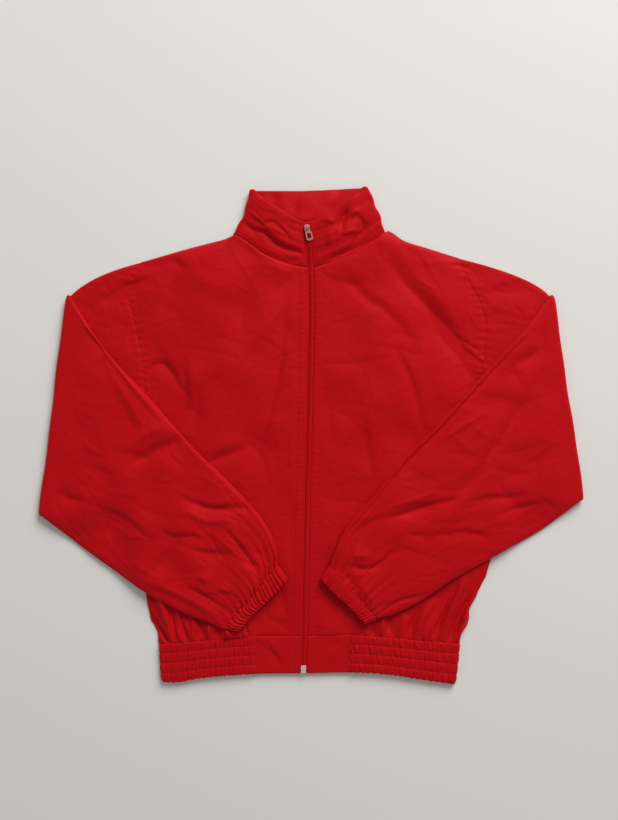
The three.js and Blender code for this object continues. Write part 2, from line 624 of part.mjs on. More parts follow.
// The slider: a wedge-shaped body, with a bridge over the pull's bar. Its own origin is on its
// top, under the bar.
function slider() {
  const { width, aft, fore, height } = SLIDER;
  const halfWidth = width / 2;
  const body = new THREE.Shape();
  body.moveTo(-halfWidth * 0.75, -aft);
  body.lineTo(halfWidth * 0.75, -aft);
  body.lineTo(halfWidth, 0);
  body.quadraticCurveTo(halfWidth, fore, halfWidth * 0.35, fore);
  body.lineTo(-halfWidth * 0.35, fore);
  body.quadraticCurveTo(-halfWidth, fore, -halfWidth, 0);
  const block = plate(body, height).translate(0, 0, -height);
  // The bridge's side view, in (y, z), stood up and given its width along x.
  const { legFore, legAft, bridgeWall, bridgeHollow, bridgeWidth } = SLIDER;
  const arch = new THREE.Shape();
  arch.moveTo(-legAft - bridgeWall, -0.5);
  arch.lineTo(-legAft - bridgeWall, bridgeHollow);
  arch.lineTo(-legAft, bridgeHollow + bridgeWall);
  arch.lineTo(legFore, bridgeHollow + bridgeWall);
  arch.lineTo(legFore + bridgeWall, bridgeHollow);
  arch.lineTo(legFore + bridgeWall, -0.5);
  arch.lineTo(legFore, -0.5);
  arch.lineTo(legFore, bridgeHollow);
  arch.lineTo(-legAft, bridgeHollow);
  arch.lineTo(-legAft, -0.5);
  const bridge = plate(arch, bridgeWidth).rotateX(Math.PI / 2).rotateZ(Math.PI / 2);
  bridge.translate(-bridgeWidth / 2, 0, 0);
  return geometryOf(solid(block).add(solid(bridge)));
}
// The pull: an eye round the bridge, whose end is the bar, and a ring-shaped plate below it. Its
// own origin is the middle of the bar.
const PULL = { wall: 1.1, bar: 0.6, eyeWidth: 6.6, eyeHole: 4.4, eyeLength: 6.4, ringWidth: 9.4,
  ringLength: 13, holeWidth: 5.8, holeLength: 8, turn: 15, droop: 5 };
function pull() {
  const { wall: thick, bar, eyeWidth, eyeHole, eyeLength } = PULL;
  const outline = new THREE.Shape();
  const ringTop = -eyeLength;
  const ringEnd = ringTop - PULL.ringLength;
  const halfRing = PULL.ringWidth / 2;
  outline.moveTo(-eyeWidth / 2, bar);
  outline.lineTo(-eyeWidth / 2, ringTop + 0.4);
  outline.quadraticCurveTo(-halfRing, ringTop, -halfRing, ringTop - 3);
  outline.lineTo(-halfRing, ringEnd + 3);
  outline.quadraticCurveTo(-halfRing, ringEnd, 0, ringEnd);
  outline.quadraticCurveTo(halfRing, ringEnd, halfRing, ringEnd + 3);
  outline.lineTo(halfRing, ringTop - 3);
  outline.quadraticCurveTo(halfRing, ringTop, eyeWidth / 2, ringTop + 0.4);
  outline.lineTo(eyeWidth / 2, bar);
  const halfEye = eyeHole / 2;
  outline.holes.push(roundedRectangle(new THREE.Path(), -halfEye, ringTop + 1.2, halfEye, -bar, 0.5));
  const halfHole = PULL.holeWidth / 2;
  const holeTop = ringTop - 2.2;
  outline.holes.push(
    roundedRectangle(new THREE.Path(), -halfHole, holeTop - PULL.holeLength, halfHole, holeTop, 2.6),
  );
  return plate(outline, thick).translate(0, 0, -thick / 2);
}
function bottomBox() {
  const { width, length, height } = BOX;
  const shape = roundedRectangle(new THREE.Shape(), -width / 2, -length / 2, width / 2, length / 2, 1.6);
  return plate(shape, height);
}

// ---------------------------------------------------------------- materials
const RED = 0xa81118;
const cloth = (roughness) => new THREE.MeshStandardMaterial({ color: RED, roughness, metalness: 0 });
const bodyCloth = cloth(0.62);
const gatheredCloth = cloth(0.7);
const zipCloth = cloth(0.8);
const zipMetal = new THREE.MeshStandardMaterial({ color: 0xc9b4ae, roughness: 0.32, metalness: 0.9 });

// ---------------------------------------------------------------- the jacket
const jacket = new THREE.Group();
function piece(name, geometry, material, parent = jacket) {
  const mesh = new THREE.Mesh(geometry, material);
  mesh.name = name;
  parent.add(mesh);
  return mesh;
}
piece('back', back(), bodyCloth);
for (const side of SIDES) {
  piece(`front_${side.name}`, front(side), bodyCloth);
  piece(`sleeve_${side.name}`, sleeve(side), bodyCloth);
  piece(`cuff_${side.name}`, cuff(side), gatheredCloth);
  piece(`band_tab_${side.name}`, bandTab(side), bodyCloth);
  piece(`zip_tape_${side.name}`, zipTape(side), zipCloth);
}
piece('collar', collar(), bodyCloth);
piece('band_elastic', elasticBand(), gatheredCloth);
piece('zip_coil', coil(), zipCloth);
const box = piece('zip_box', bottomBox(), zipMetal);
box.position.set(zipX(BOX.y), BOX.y, zipUnder(BOX.y));

// The slider sits on the sloping top of the zip, and the pull hangs from its bridge.
const sliderGroup = new THREE.Group();
const zipSlope = Math.atan2(COLLAR_RISE, COLLAR_TOP_Y - NECK_Y);
sliderGroup.position.set(zipX(SLIDER.y), SLIDER.y, zipUnder(SLIDER.y) + SLIDER.height + LAYER_GAP);
sliderGroup.rotation.x = zipSlope;
jacket.add(sliderGroup);
piece('zip_slider', slider(), zipMetal, sliderGroup);
const pullMesh = piece('zip_pull', pull(), zipMetal, sliderGroup);
pullMesh.position.z = SLIDER.pivotRise;
pullMesh.rotation.set(
  THREE.MathUtils.degToRad(PULL.droop), 0, THREE.MathUtils.degToRad(PULL.turn), 'ZXY',
);

export default jacket;
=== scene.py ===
"""Windbreaker jacket lying on its back, zipped up, with its sleeves folded forward over its fronts.
The cloth is made from sections in millimetres, in the frame's own axes, and written in metres."""
import math
from collections import namedtuple
from types import SimpleNamespace

import bpy
import numpy as np
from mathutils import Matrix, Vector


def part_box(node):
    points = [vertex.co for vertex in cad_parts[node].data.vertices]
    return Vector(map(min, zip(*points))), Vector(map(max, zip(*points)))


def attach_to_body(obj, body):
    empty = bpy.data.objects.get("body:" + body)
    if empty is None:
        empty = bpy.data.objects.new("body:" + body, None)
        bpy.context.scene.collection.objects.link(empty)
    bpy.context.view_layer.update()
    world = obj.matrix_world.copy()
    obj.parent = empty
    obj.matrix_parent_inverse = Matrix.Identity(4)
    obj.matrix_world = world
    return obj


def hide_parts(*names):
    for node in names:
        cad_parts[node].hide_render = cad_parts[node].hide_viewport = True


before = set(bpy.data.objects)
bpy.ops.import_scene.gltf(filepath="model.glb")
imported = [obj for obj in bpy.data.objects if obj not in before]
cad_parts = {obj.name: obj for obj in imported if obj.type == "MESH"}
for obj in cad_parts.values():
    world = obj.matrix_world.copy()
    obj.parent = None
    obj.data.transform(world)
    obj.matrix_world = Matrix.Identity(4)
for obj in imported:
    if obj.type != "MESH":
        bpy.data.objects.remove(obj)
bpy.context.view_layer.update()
MM = 0.001
UP = np.array([0, 0, 1.0])

# ---------------- sizes, mm
SHELL = 0.5  # cloth of the body
SLEEVE_HALF = 2.0  # half the thickness of a sleeve's lower part
SLEEVE_EDGE = 9.0  # width of the rounding at a sleeve's two edges
SLEEVE_PUFF = 2.6  # how much the middle of a folded sleeve stands over its edges
TURN_RADIUS = 4.0
TURN_HEIGHT = 6.0
SLEEVE_UNDER = 8.0  # underside of a sleeve over the body
SLEEVE_GROUND = 1.0  # underside of a sleeve where nothing lies under it
GROUND_REACH = 50.0
FRONT_LOW = 1.3  # height of a front where it is sewn to the back
FRONT_ZIP = 5.0
FRONT_ARMHOLE = 3.0
CHEST_CROWN = 4.0
EDGE_REACH = 26.0
ARMPIT_BLEND = 45.0
COLLAR_RISE = 8.5
COLLAR_BULGE = 4.0
COLLAR_WALL = 1.2
BACK_COLLAR_LIFT = 10.5  # how far the back of the collar stands up inside its front
BACK_NECK_DIP = 9.0
CASING = 3.0  # thickness of a gathered casing
BAND_GAP = 2.5
CHANNELS = 4  # stitched channels of the waistband
RUFFLE = 7.0  # mean spacing of the ruffles over elastic
CUFF_HALF = 4.5
CUFF_PLEAT = 5.6
CUFF_WIDTH = 105.0  # width of a cuff as it lies
CUFF_PACE = 231.0  # length of a sleeve at the pace of its table's last rows
TAB_WALL = 2.0
BAND_WALL = 1.8  # wall of the waistband under its ruffles
SEAM_LAP = 1.5  # how far a front reaches under the collar and the waistband
ARMHOLE_LAP = 1.4  # how far a sleeve reaches under a front
WAVY_EDGE = 3.5  # how far the gathers push the body's side edges in and out
ZIP_OPENING = 9.6
TOOTH = (3.3, 0.66, 1.5)  # length, width and height of one loop of the coil
TOOTH_PITCH = 1.45
COLLAR_TOP_Y = 309.0
NECK_Y = 243.0
BAND_TOP_Y = -289.0
ZIP_END_Y = -342.0
FOLD_DEPTH = 1.3  # the folds' heights in the tables are times this
UPHILL = (0.5, 0.87)  # the direction that the folds lean away from
FOLD_LEAN = 0.5  # how much wider one flank of a fold is, and how much narrower the other
ROUTE_POINTS = 18
SWELL_WAVES = 7
BAND_PLEAT, BAND_PLEAT_RISE, BAND_PLEAT_REACH = 12.5, 5.4, 34  # gathers over the waistband
SMALL_PLEAT, SMALL_PLEAT_RISE = 5.2, 2.2
STITCH = (2.6, 0.5, 0.34)  # length, width and height of one stitch
STITCH_STEP = 3.3  # distance from one stitch to the next
STITCH_LIFT = 0.08
EDGE_SEAM, EDGE_TOPSTITCH = 2.6, 10.5  # distances of a front edge's two stitch rows from the zip
FLOOR_HALF = 40.0  # in metres


def columns(names, *rows):
    """A table with named columns."""
    return dict(zip(names.split(), np.array(rows, float).T))


def add_object(name, data):
    made = bpy.data.objects.new(name, data)
    bpy.context.scene.collection.objects.link(made)
    return made


# ---------------- camera, m
VIEW_WIDTH, VIEW_HEIGHT = 0.892, 1.6
camera_data = bpy.data.cameras.new("camera")
camera_data.sensor_fit = "HORIZONTAL"
camera_data.angle = 2 * math.atan(VIEW_WIDTH / 2 / VIEW_HEIGHT)
camera = add_object("camera", camera_data)
camera.location = (-0.0029, 0.0375, VIEW_HEIGHT + 0.008)
bpy.context.scene.camera = camera

# ---------------- outlines, mm
ZIP_LINE = columns(
    "y x", (-342, -11), (-237, -9), (-92, -6), (23, -3), (110, -1.5), (196, 0), (276, -3), (309, -7))
BAND_EDGES = columns(
    "x top foot", (-217, -300, -356), (-194, -298, -356), (-151, -295, -349), (-82, -289, -344),
    (-11, -289, -343), (59, -287, -342), (112, -291, -345), (185, -297, -356), (214, -300, -359))

# The two sides of the jacket, the wearer's right and left. `out` is the distance from x = 0.
RIGHT = SimpleNamespace(
    name="right", sign=-1, neck_out=111, neck_y=289, armpit_y=-78, shoulder_y=251, tab_out=82,
    side=columns(
        "y out", (-300, 219.5), (-287, 221), (-276, 226), (-262, 232), (-251, 235), (-221, 240),
        (-150, 242), (-78, 241),
        (40, 238), (124, 247), (168, 258), (199, 264), (225, 257), (251, 247)),
    top=columns(
        "out y", (4, 243), (34, 248), (70, 263), (92, 279), (111, 289), (126, 284.5), (180, 270.5),
        (247, 251)),
    collar_top=(82, 355),
    collar_bow=-4.5,
    elbow=(307, 230.5, 312, -98),
    sleeve=columns(
        "over_out over_y under_out under_y half",
        (348, 203, 388, -116, 2), (296, 124, 323, -167, 2.7), (235, 58, 243, -223, 3),
        (172, -14, 186, -254, 3), (120, -64, 151, -268, 3.2), (71, -118, 134, -275, 3.5),
        (51, -156, 128, -277, 3.8), (47, -186, 123, -278, 4)),
    cuff_end=(33, -205, 106, -282),
)
LEFT = SimpleNamespace(
    name="left", sign=1, neck_out=105, neck_y=292, armpit_y=-60, shoulder_y=257, tab_out=59,
    side=columns(
        "y out", (-300, 215.5), (-287, 217), (-275, 226), (-264, 229), (-251, 229), (-228, 241),
        (-191, 257), (-150, 264), (-60, 261),
        (40, 247), (124, 251), (165, 253), (190, 246), (225, 228), (257, 215)),
    top=columns(
        "out y", (2, 243), (26, 250), (56, 261), (91, 282), (105, 292), (113, 296.5), (134, 283),
        (169, 271.5), (215, 257)),
    collar_top=(75, 359),
    collar_bow=1.5,
    elbow=(300, 230.5, 326, -76),
    sleeve=columns(
        "over_out over_y under_out under_y half",
        (345, 203, 389, -93, 2), (300, 146, 333, -136, 2.7), (238, 78, 264, -174, 3),
        (180, 14, 205, -207, 3), (134, -32, 160, -237, 3.2), (86, -90, 122, -256, 3.4),
        (48, -136, 107, -260, 3.6), (26, -186, 95, -263, 4)),
    cuff_end=(13, -204, 79, -271),
)
SIDES = (RIGHT, LEFT)
SLEEVE_ENDS = ("over_out", "over_y", "under_out", "under_y")

# ---------------- folds, mm
# height (below 0 for a trough), half-width, and the places that the fold runs through.
Fold = namedtuple("Fold", "height width path")


def folds(*rows):
    return [Fold(height, width, path) for height, width, *path in rows]


BODY_FOLDS = folds(
    (-3.4, 10, (-305, 193), (-235, 228)),
    (-2.0, 10, (-209, 251), (-196, 251), (-183, 240)),
    (1.8, 24, (-196, 240), (-139, 219), (-95, 196)),
    (1.4, 16, (-221, 142), (-201, 116), (-179, 92)),
    (-2.6, 8, (-241, 85), (-228, 101), (-214, 104), (-201, 90), (-189, 69), (-179, 56)),
    (-3.6, 17, (-131, 90), (-160, 58), (-175, 0)),
    (-4.2, 9, (-184, 104), (-181, 74), (-188, 44), (-203, 16)),
    (-2.2, 14, (-82, 225), (-94, 191), (-105, 153)),
    (-1.6, 10, (-19, 234), (-39, 219), (-56, 202)),
    (1.6, 16, (-30, 196), (-77, 147), (-124, 95)),
    (-1.8, 7, (-36, 182), (-42, 124), (-48, 81), (-59, 38), (-77, -26), (-91, -78)),
    (-4.0, 12, (-94, -17), (-122, -28), (-149, -40)),
    (-0.9, 5, (-36, 98), (-10, 95)),
    (-5.8, 21, (111, 257), (134, 222), (169, 185), (198, 142), (215, 113), (235, 81)),
    (-2.6, 15, (48, 231), (82, 196), (105, 182), (129, 156), (142, 142)),
    (-1.6, 16, (33, 225), (56, 219), (82, 219)),
    (-2.2, 9, (123, 124), (140, 90), (152, 52), (160, 14)),
    (-1.4, 5, (209, 144), (247, 121)),
    (-1.4, 5, (215, 130), (247, 104)),
    (-1.4, 5, (206, 248), (253, 240)),
    (-2.4, 12, (256, 208), (282, 211), (310, 217)),
    (-0.8, 6, (16, 105), (49, 104), (82, 107)),
    (-1.6, 11, (74, 23), (82, -23), (91, -69)),
    (1.4, 20, (36, 29), (49, -6)),
    (-1.2, 8, (-45, -214), (-43, -234), (-39, -254)),
)
# The gathers over the waistband's elastic that run on furthest.
GATHER_FOLDS = folds(
    (4.2, 6, (-224, -222), (-211, -260), (-198, -294)),
    (-3.2, 4, (-207, -238), (-200, -270), (-194, -297)),
    (-3.4, 4, (-231, -259), (-218, -280), (-207, -297)),
    (3.2, 5, (-197, -240), (-190, -270), (-186, -294)),
    (-3.0, 4, (-190, -249), (-187, -270), (-180, -294)),
    (2.8, 5, (-175, -254), (-170, -276), (-172, -294)),
    (-2.8, 4, (-163, -262), (-158, -280), (-160, -294)),
    (2.6, 5, (-146, -270), (-149, -292)),
    (-2.6, 4, (-132, -274), (-136, -292)),
    (2.4, 5, (-121, -279), (-119, -292)),
    (4.6, 6, (222, -206), (204, -245), (186, -290)),
    (-3.6, 4, (212, -214), (194, -250), (177, -291)),
    (3.6, 5, (205, -222), (190, -250), (165, -291)),
    (3.4, 5, (238, -228), (223, -260), (213, -294)),
    (-3.6, 4, (230, -232), (214, -262), (201, -294)),
    (3.0, 6, (180, -237), (163, -262), (150, -290)),
    (-3.2, 4, (160, -246), (148, -268), (140, -290)),
    (-3.4, 4, (119, -250), (114, -268), (115, -286)),
    (2.6, 5, (136, -256), (129, -290)),
    (2.4, 5, (104, -264), (101, -288)),
    (-2.2, 4, (90, -270), (88, -288)),
)
SLEEVE_FOLDS = folds(
    (1.8, 7, (-351, 196), (-310, 144), (-261, 78), (-212, 20)),
    (1.8, 12, (-296, 110), (-267, 58), (-235, 3)),
    (-2.0, 7, (-325, 150), (-308, 133), (-290, 116)),
    (2.4, 9, (-201, 16), (-236, 2), (-270, -22)),
    (-6.0, 12, (-189, -6), (-222, -20), (-256, -40)),
    (-1.6, 9, (-319, -46), (-287, -55)),
    (-1.6, 8, (-368, -81), (-348, -90), (-325, -92)),
    (-3.4, 8, (-183, -90), (-166, -98), (-143, -105), (-120, -104), (-94, -104)),
    (2.2, 9, (-180, -107), (-152, -121), (-114, -120)),
    (-2.8, 7, (-215, -139), (-195, -146), (-172, -144), (-155, -149)),
    (-2.2, 7, (-175, -163), (-146, -169), (-114, -170)),
    (-3.0, 7, (-123, -136), (-105, -156), (-88, -179), (-78, -193)),
    (-2.2, 9, (-296, -107), (-258, -127), (-235, -147)),
    (-2.8, 12, (-195, -159), (-212, -179), (-232, -205)),
    (2.4, 10, (-232, -208), (-175, -234), (-131, -260)),
    (-2.4, 7, (-180, -217), (-163, -225), (-143, -237), (-120, -254)),
    (2.0, 7, (-160, -202), (-149, -209)),
    (1.8, 7, (-131, -217), (-114, -224)),
    (-2.8, 10, (331, 87), (302, 43), (282, 9), (253, -32), (221, -75), (198, -95)),
    (-1.8, 16, (238, 52), (270, 52), (299, 46)),
    (1.4, 5, (250, 32), (218, 14), (183, -9)),
    (-2.0, 7, (339, 170), (331, 124)),
    (-2.0, 2.8, (306, 139), (243, 72), (185, 8), (139, -37), (91, -95), (55, -140)),
    (1.4, 3, (303, 144), (240, 76), (182, 12), (136, -33), (88, -91), (52, -137)),
    (-2.4, 9, (331, 124), (313, 113), (296, 104)),
    (-3.4, 7, (103, -119), (134, -112), (163, -102), (186, -96), (209, -92)),
    (2.2, 9, (114, -101), (149, -92), (183, -78)),
    (-2.4, 7, (227, -97), (250, -90), (290, -88), (310, -82)),
    (-2.2, 7, (270, -113), (302, -103), (339, -95)),
    (-1.8, 6, (140, -142), (169, -144)),
    (-2.2, 7, (180, -143), (230, -139), (256, -147)),
    (-3.4, 7, (56, -188), (82, -191), (105, -179), (123, -156)),
    (2.6, 10, (59, -173), (82, -170)),
    (-1.6, 7, (65, -142), (82, -127), (100, -116)),
    (-1.8, 5, (100, -251), (129, -237), (169, -227)),
)
COLLAR_FOLDS = folds(
    (-4.0, 5, (-97, 309), (-79, 296), (-68, 294), (-56, 283), (-43, 274), (-16, 265)),
    (-1.8, 3.5, (-90, 315), (-75, 310), (-70, 304), (-59, 309), (-51, 306), (-41, 297), (-29, 283)),
    (-1.0, 3, (-63, 322), (-48, 318)),
    (-1.5, 4, (-80, 354), (-66, 342)),
    (-1.5, 6, (-38, 253), (-14, 254)),
    (-5.6, 7, (52, 328), (47, 314), (41, 296)),
    (-2.5, 4, (67, 322), (53, 306)),
    (2.0, 4, (69, 325), (58, 318)),
    (2.0, 4, (71, 297), (43, 292)),
    (1.6, 5, (19, 311), (35, 308)),
    (1.6, 4, (31, 292), (24, 277)),
    (-3.6, 6, (85, 308), (72, 292), (60, 276)),
    (-2.2, 5, (66, 318), (74, 308), (70, 298)),
    (-2.0, 6, (89, 282), (53, 266), (20, 253)),
    (-1.5, 4, (77, 360), (64, 347)),
)
BACK_COLLAR_FOLDS = folds(
    (-1.4, 8, (-16, 347), (-29, 319)),
    (-1.4, 8, (42, 347), (36, 318)),
)
TAB_FOLDS = folds(
    (-1.6, 5, (-68, -293), (-55, -312), (-42, -332)),
    (1.2, 6, (-78, -290), (-45, -315)),
    (1.2, 5, (48, -290), (25, -328)),
    (-1.2, 5, (43, -295), (23, -305)),
)


# ---------------- small helpers
def lerp(a, b, t):
    return a + (b - a) * t


def smooth(low, high, value):
    t = np.clip((value - low) / (high - low), 0, 1)
    return t * t * (3 - 2 * t)


def even(count):
    """Shares from 0 to 1, evenly spread."""
    return np.linspace(0, 1, count)


def bell(distance, width):
    """1 at a distance of 0, falling away smoothly over that width."""
    return np.exp(-(distance / width) ** 2)


def xyz(x, y, z):
    """Points from their coordinates."""
    return np.stack(np.broadcast_arrays(x, y, z), axis=-1)


def distances(points):
    """How far along a line each of its points is."""
    return np.concatenate([[0], np.cumsum(np.linalg.norm(np.diff(points, axis=0), axis=1))])


def quarter_round(distance, reach):
    """Height of a quarter round of that reach, from 0 at its edge to 1."""
    t = np.clip(distance / reach, 0, 1)
    return np.sqrt(1 - (1 - t) ** 2)


def curve(table, source, target):
    """Smooth curve through two columns of a table. The source column rises."""
    xs, ys = table[source], table[target]
    order = np.arange(len(xs))
    before, after = np.maximum(order - 1, 0), np.minimum(order + 1, len(xs) - 1)
    slopes = (ys[after] - ys[before]) / (xs[after] - xs[before])

    def read(value):
        at = np.clip(value, xs[0], xs[-1])
        i = np.clip(np.searchsorted(xs, at, side="right") - 1, 0, len(xs) - 2)
        span = xs[i + 1] - xs[i]
        t = (at - xs[i]) / span
        rest = 1 - t
        return (ys[i] * (1 + 2 * t) * rest**2 + ys[i + 1] * (1 + 2 * rest) * t**2
                + span * t * rest * (slopes[i] * rest - slopes[i + 1] * t))

    return read


def route(path):
    """Points evenly spread along a smooth line through a fold's places."""
    points = np.array(path, float)
    along = distances(points)
    table = {"s": along / along[-1], "x": points[:, 0], "y": points[:, 1]}
    s = even(ROUTE_POINTS)
    return np.stack([curve(table, "s", "x")(s), curve(table, "s", "y")(s)], axis=1)


def relief(table, x, y, sharp=0.6, depth=1.0):
    """Height of the folds at (x, y). A sharper fold has a narrower crest on the same flanks. The
    folds lean: cloth falls steeply towards the hem and rises gently from there."""
    height = np.zeros(np.broadcast(x, y).shape)
    for fold in table:
        line = route(fold.path) if len(fold.path) > 2 else np.array(fold.path, float)
        reach = 3.5 * fold.width
        near = ((x > line[:, 0].min() - reach) & (x < line[:, 0].max() + reach)
                & (y > line[:, 1].min() - reach) & (y < line[:, 1].max() + reach))
        if not near.any():
            continue
        px, py = x[near], y[near]
        best, at, flank = np.full(px.shape, 1e9), np.zeros(px.shape), np.ones(px.shape)
        lengths = np.linalg.norm(np.diff(line, axis=0), axis=1)
        starts = np.concatenate([[0], np.cumsum(lengths)])
        for (ax, ay), (bx, by), length, start in zip(line[:-1], line[1:], lengths, starts):
            t = np.clip(((px - ax) * (bx - ax) + (py - ay) * (by - ay)) / length**2, 0, 1)
            far = np.hypot(px - lerp(ax, bx, t), py - lerp(ay, by, t))
            turn = (bx - ax) * (py - ay) - (by - ay) * (px - ax)
            uphill = (UPHILL[1] * (bx - ax) - UPHILL[0] * (by - ay)) / length
            closer = far < best
            best = np.where(closer, far, best)
            at = np.where(closer, start + t * length, at)
            flank = np.where(closer, np.clip(turn / length / fold.width, -1, 1) * uphill, flank)
        at /= starts[-1]
        taper = np.sin(math.pi * np.clip(0.06 + 0.88 * at, 0, 1)) ** 0.8
        d = best / (fold.width * (1 + FOLD_LEAN * flank * np.sign(fold.height)))
        crest = lerp(np.exp(-d**2), np.exp(-1.9 * (np.sqrt(d**2 + 0.02) - 0.14)), sharp)
        height[near] += depth * fold.height * taper * crest * smooth(2.6, 1.6, d)
    return height


def swell(x, y, seed, wave, height):
    """Broad soft waves of the cloth in all directions."""
    rng = np.random.default_rng(seed)
    total = 0
    for _ in range(SWELL_WAVES):
        turn, phase, drift = rng.uniform(0, 2 * math.pi, 3)
        pace = 2 * math.pi / (wave * rng.uniform(0.6, 1.5))
        along = x * math.cos(turn) + y * math.sin(turn)
        across = y * math.cos(turn) - x * math.sin(turn)
        total = total + np.sin(pace * along + phase + 0.9 * np.sin(0.7 * pace * across + drift))
    return height * total / math.sqrt(SWELL_WAVES)


def crumple(x, y, seed, count, size, height, lean=None):
    """Many small shallow creases over the area of the points, always the same ones for one seed."""
    rng = np.random.default_rng(seed)
    low, high = (x.min(), y.min()), (x.max(), y.max())
    small = []
    for _ in range(count):
        cx, cy = rng.uniform(low[0], high[0]), rng.uniform(low[1], high[1])
        turn = rng.uniform(0, math.pi) if lean is None else rng.normal(lean, 0.5)
        half = 0.5 * size * rng.uniform(0.5, 1.5)
        dx, dy = half * math.cos(turn), half * math.sin(turn)
        bow = rng.uniform(-0.25, 0.25)
        rise = height * rng.choice([-1, 1]) * rng.uniform(0.3, 1)
        width = rng.uniform(0.05, 0.13) * size
        path = ((cx - dx, cy - dy), (cx - bow * dy, cy + bow * dx), (cx + dx, cy + dy))
        small.append(Fold(rise, width, path))
    return relief(small, x, y, 0.9)


def gather(distance, spacing, seed):
    """Height, from 0 to 1, of uneven pleats side by side, at a distance along the gathered edge.
    Each run of pleats, waves or creases has a seed of its own, which is a plain number."""
    rng = np.random.default_rng(seed)
    low, high = float(np.min(distance)) - spacing, float(np.max(distance)) + 2 * spacing
    steps = rng.uniform(0.55, 1.5, int((high - low) / spacing * 2.6) + 8) * spacing
    knots = low + np.concatenate([[0], np.cumsum(steps / 2)])
    crests, troughs = rng.uniform(0.45, 1, len(knots)), rng.uniform(0, 0.3, len(knots))
    values = np.where(np.arange(len(knots)) % 2, crests, troughs)
    i = np.clip(np.searchsorted(knots, distance, side="right") - 1, 0, len(knots) - 2)
    t = np.clip((distance - knots[i]) / (knots[i + 1] - knots[i]), 0, 1)
    return lerp(values[i], values[i + 1], t * t * (3 - 2 * t))


# ---------------- materials
def set_inputs(node, **values):
    """Constants on a node's own sockets, with _ for a space in their names."""
    for key, value in values.items():
        node.inputs[key.replace("_", " ")].default_value = value


def new_material(name):
    material = bpy.data.materials.new(name)
    material.use_nodes = True
    nodes, links = material.node_tree.nodes, material.node_tree.links
    return material, nodes, links, nodes["Principled BSDF"]


def group(name, inputs, outputs):
    """An empty shader node group with named number sockets."""
    tree = bpy.data.node_groups.new(name, "ShaderNodeTree")
    for socket, value in inputs.items():
        made = tree.interface.new_socket(socket, in_out="INPUT", socket_type="NodeSocketFloat")
        made.default_value = value
    for socket in outputs:
        tree.interface.new_socket(socket, in_out="OUTPUT", socket_type="NodeSocketFloat")
    return tree, tree.nodes.new("NodeGroupInput"), tree.nodes.new("NodeGroupOutput")


def weave_group():
    """Plain weave, soft wrinkles and thin creases as one height, and a mask of uneven dye."""
    inputs = {"Threads per metre": 2200.0, "Weave": 0.04, "Wrinkle scale": 60.0, "Wrinkle": 0.4,
              "Crease scale": 26.0, "Crease": 0.12}
    tree, given, made = group("plain_weave", inputs, ("Height", "Dye"))
    nodes, links = tree.nodes, tree.links
    place = nodes.new("ShaderNodeTexCoord")

    def feed(socket, value):
        if isinstance(value, float):
            socket.default_value = value
        else:
            links.new(value, socket)

    def math_node(kind, first, second):
        node = nodes.new("ShaderNodeMath")
        node.operation = kind
        feed(node.inputs[0], first)
        feed(node.inputs[1], second)
        return node.outputs[0]

    def noise(scale, detail, distortion):
        node = nodes.new("ShaderNodeTexNoise")
        set_inputs(node, Detail=detail, Distortion=distortion)
        links.new(place.outputs["Object"], node.inputs["Vector"])
        feed(node.inputs["Scale"], scale)
        return node.outputs["Fac"]

    waves = []
    for axis in ("X", "Y"):
        wave = nodes.new("ShaderNodeTexWave")
        wave.bands_direction = axis
        set_inputs(wave, Distortion=0.6)
        links.new(place.outputs["Object"], wave.inputs["Vector"])
        bands = math_node("MULTIPLY", given.outputs["Threads per metre"], 0.31)
        links.new(bands, wave.inputs["Scale"])
        waves.append(wave.outputs["Fac"])
    weave = math_node("MULTIPLY", math_node("MAXIMUM", *waves), given.outputs["Weave"])
    soft = noise(given.outputs["Wrinkle scale"], 3.0, 0.9)
    wrinkle = math_node("MULTIPLY", soft, given.outputs["Wrinkle"])
    # A crease is where a slow noise crosses its own middle value.
    slow = noise(given.outputs["Crease scale"], 2.0, 1.4)
    off_middle = math_node("ABSOLUTE", math_node("SUBTRACT", slow, 0.5), 0.0)
    off_line = math_node("MINIMUM", math_node("MULTIPLY", off_middle, 14.0), 1.0)
    line = math_node("SUBTRACT", 1.0, off_line)
    faint = math_node("MULTIPLY", noise(9.0, 1.0, 0.0), given.outputs["Crease"])
    crease = math_node("MULTIPLY", math_node("POWER", line, 1.6), faint)
    height = math_node("ADD", math_node("ADD", weave, wrinkle), crease)
    links.new(height, made.inputs["Height"])
    links.new(noise(420.0, 2.0, 0.0), made.inputs["Dye"])
    return tree


WEAVE = weave_group()
RED = (0.535, 0.0044, 0.0084)
DEEP_RED = (0.46, 0.0037, 0.0069)


def cloth_material(name, light, deep, roughness, sheen, **weaving):
    """Dyed cloth. `weaving` gives the weave group's inputs, with _ for a space in their names."""
    material, nodes, links, shader = new_material(name)
    set_inputs(shader, Roughness=roughness, Specular_IOR_Level=0.3, Specular_Tint=(1.0, 0.16, 0.2, 1))
    set_inputs(shader, Sheen_Weight=sheen, Sheen_Roughness=0.42, Sheen_Tint=(1.0, 0.06, 0.08, 1))
    weave = nodes.new("ShaderNodeGroup")
    weave.node_tree = WEAVE
    set_inputs(weave, **weaving)
    ramp = nodes.new("ShaderNodeValToRGB")
    ramp.color_ramp.elements[0].position = 0.3
    ramp.color_ramp.elements[0].color = (*deep, 1)
    ramp.color_ramp.elements[1].position = 0.7
    ramp.color_ramp.elements[1].color = (*light, 1)
    links.new(weave.outputs["Dye"], ramp.inputs["Fac"])
    links.new(ramp.outputs["Color"], shader.inputs["Base Color"])
    raised = nodes.new("ShaderNodeBump")
    set_inputs(raised, Strength=1.0, Distance=MM)
    links.new(weave.outputs["Height"], raised.inputs["Height"])
    links.new(raised.outputs["Normal"], shader.inputs["Normal"])
    return material


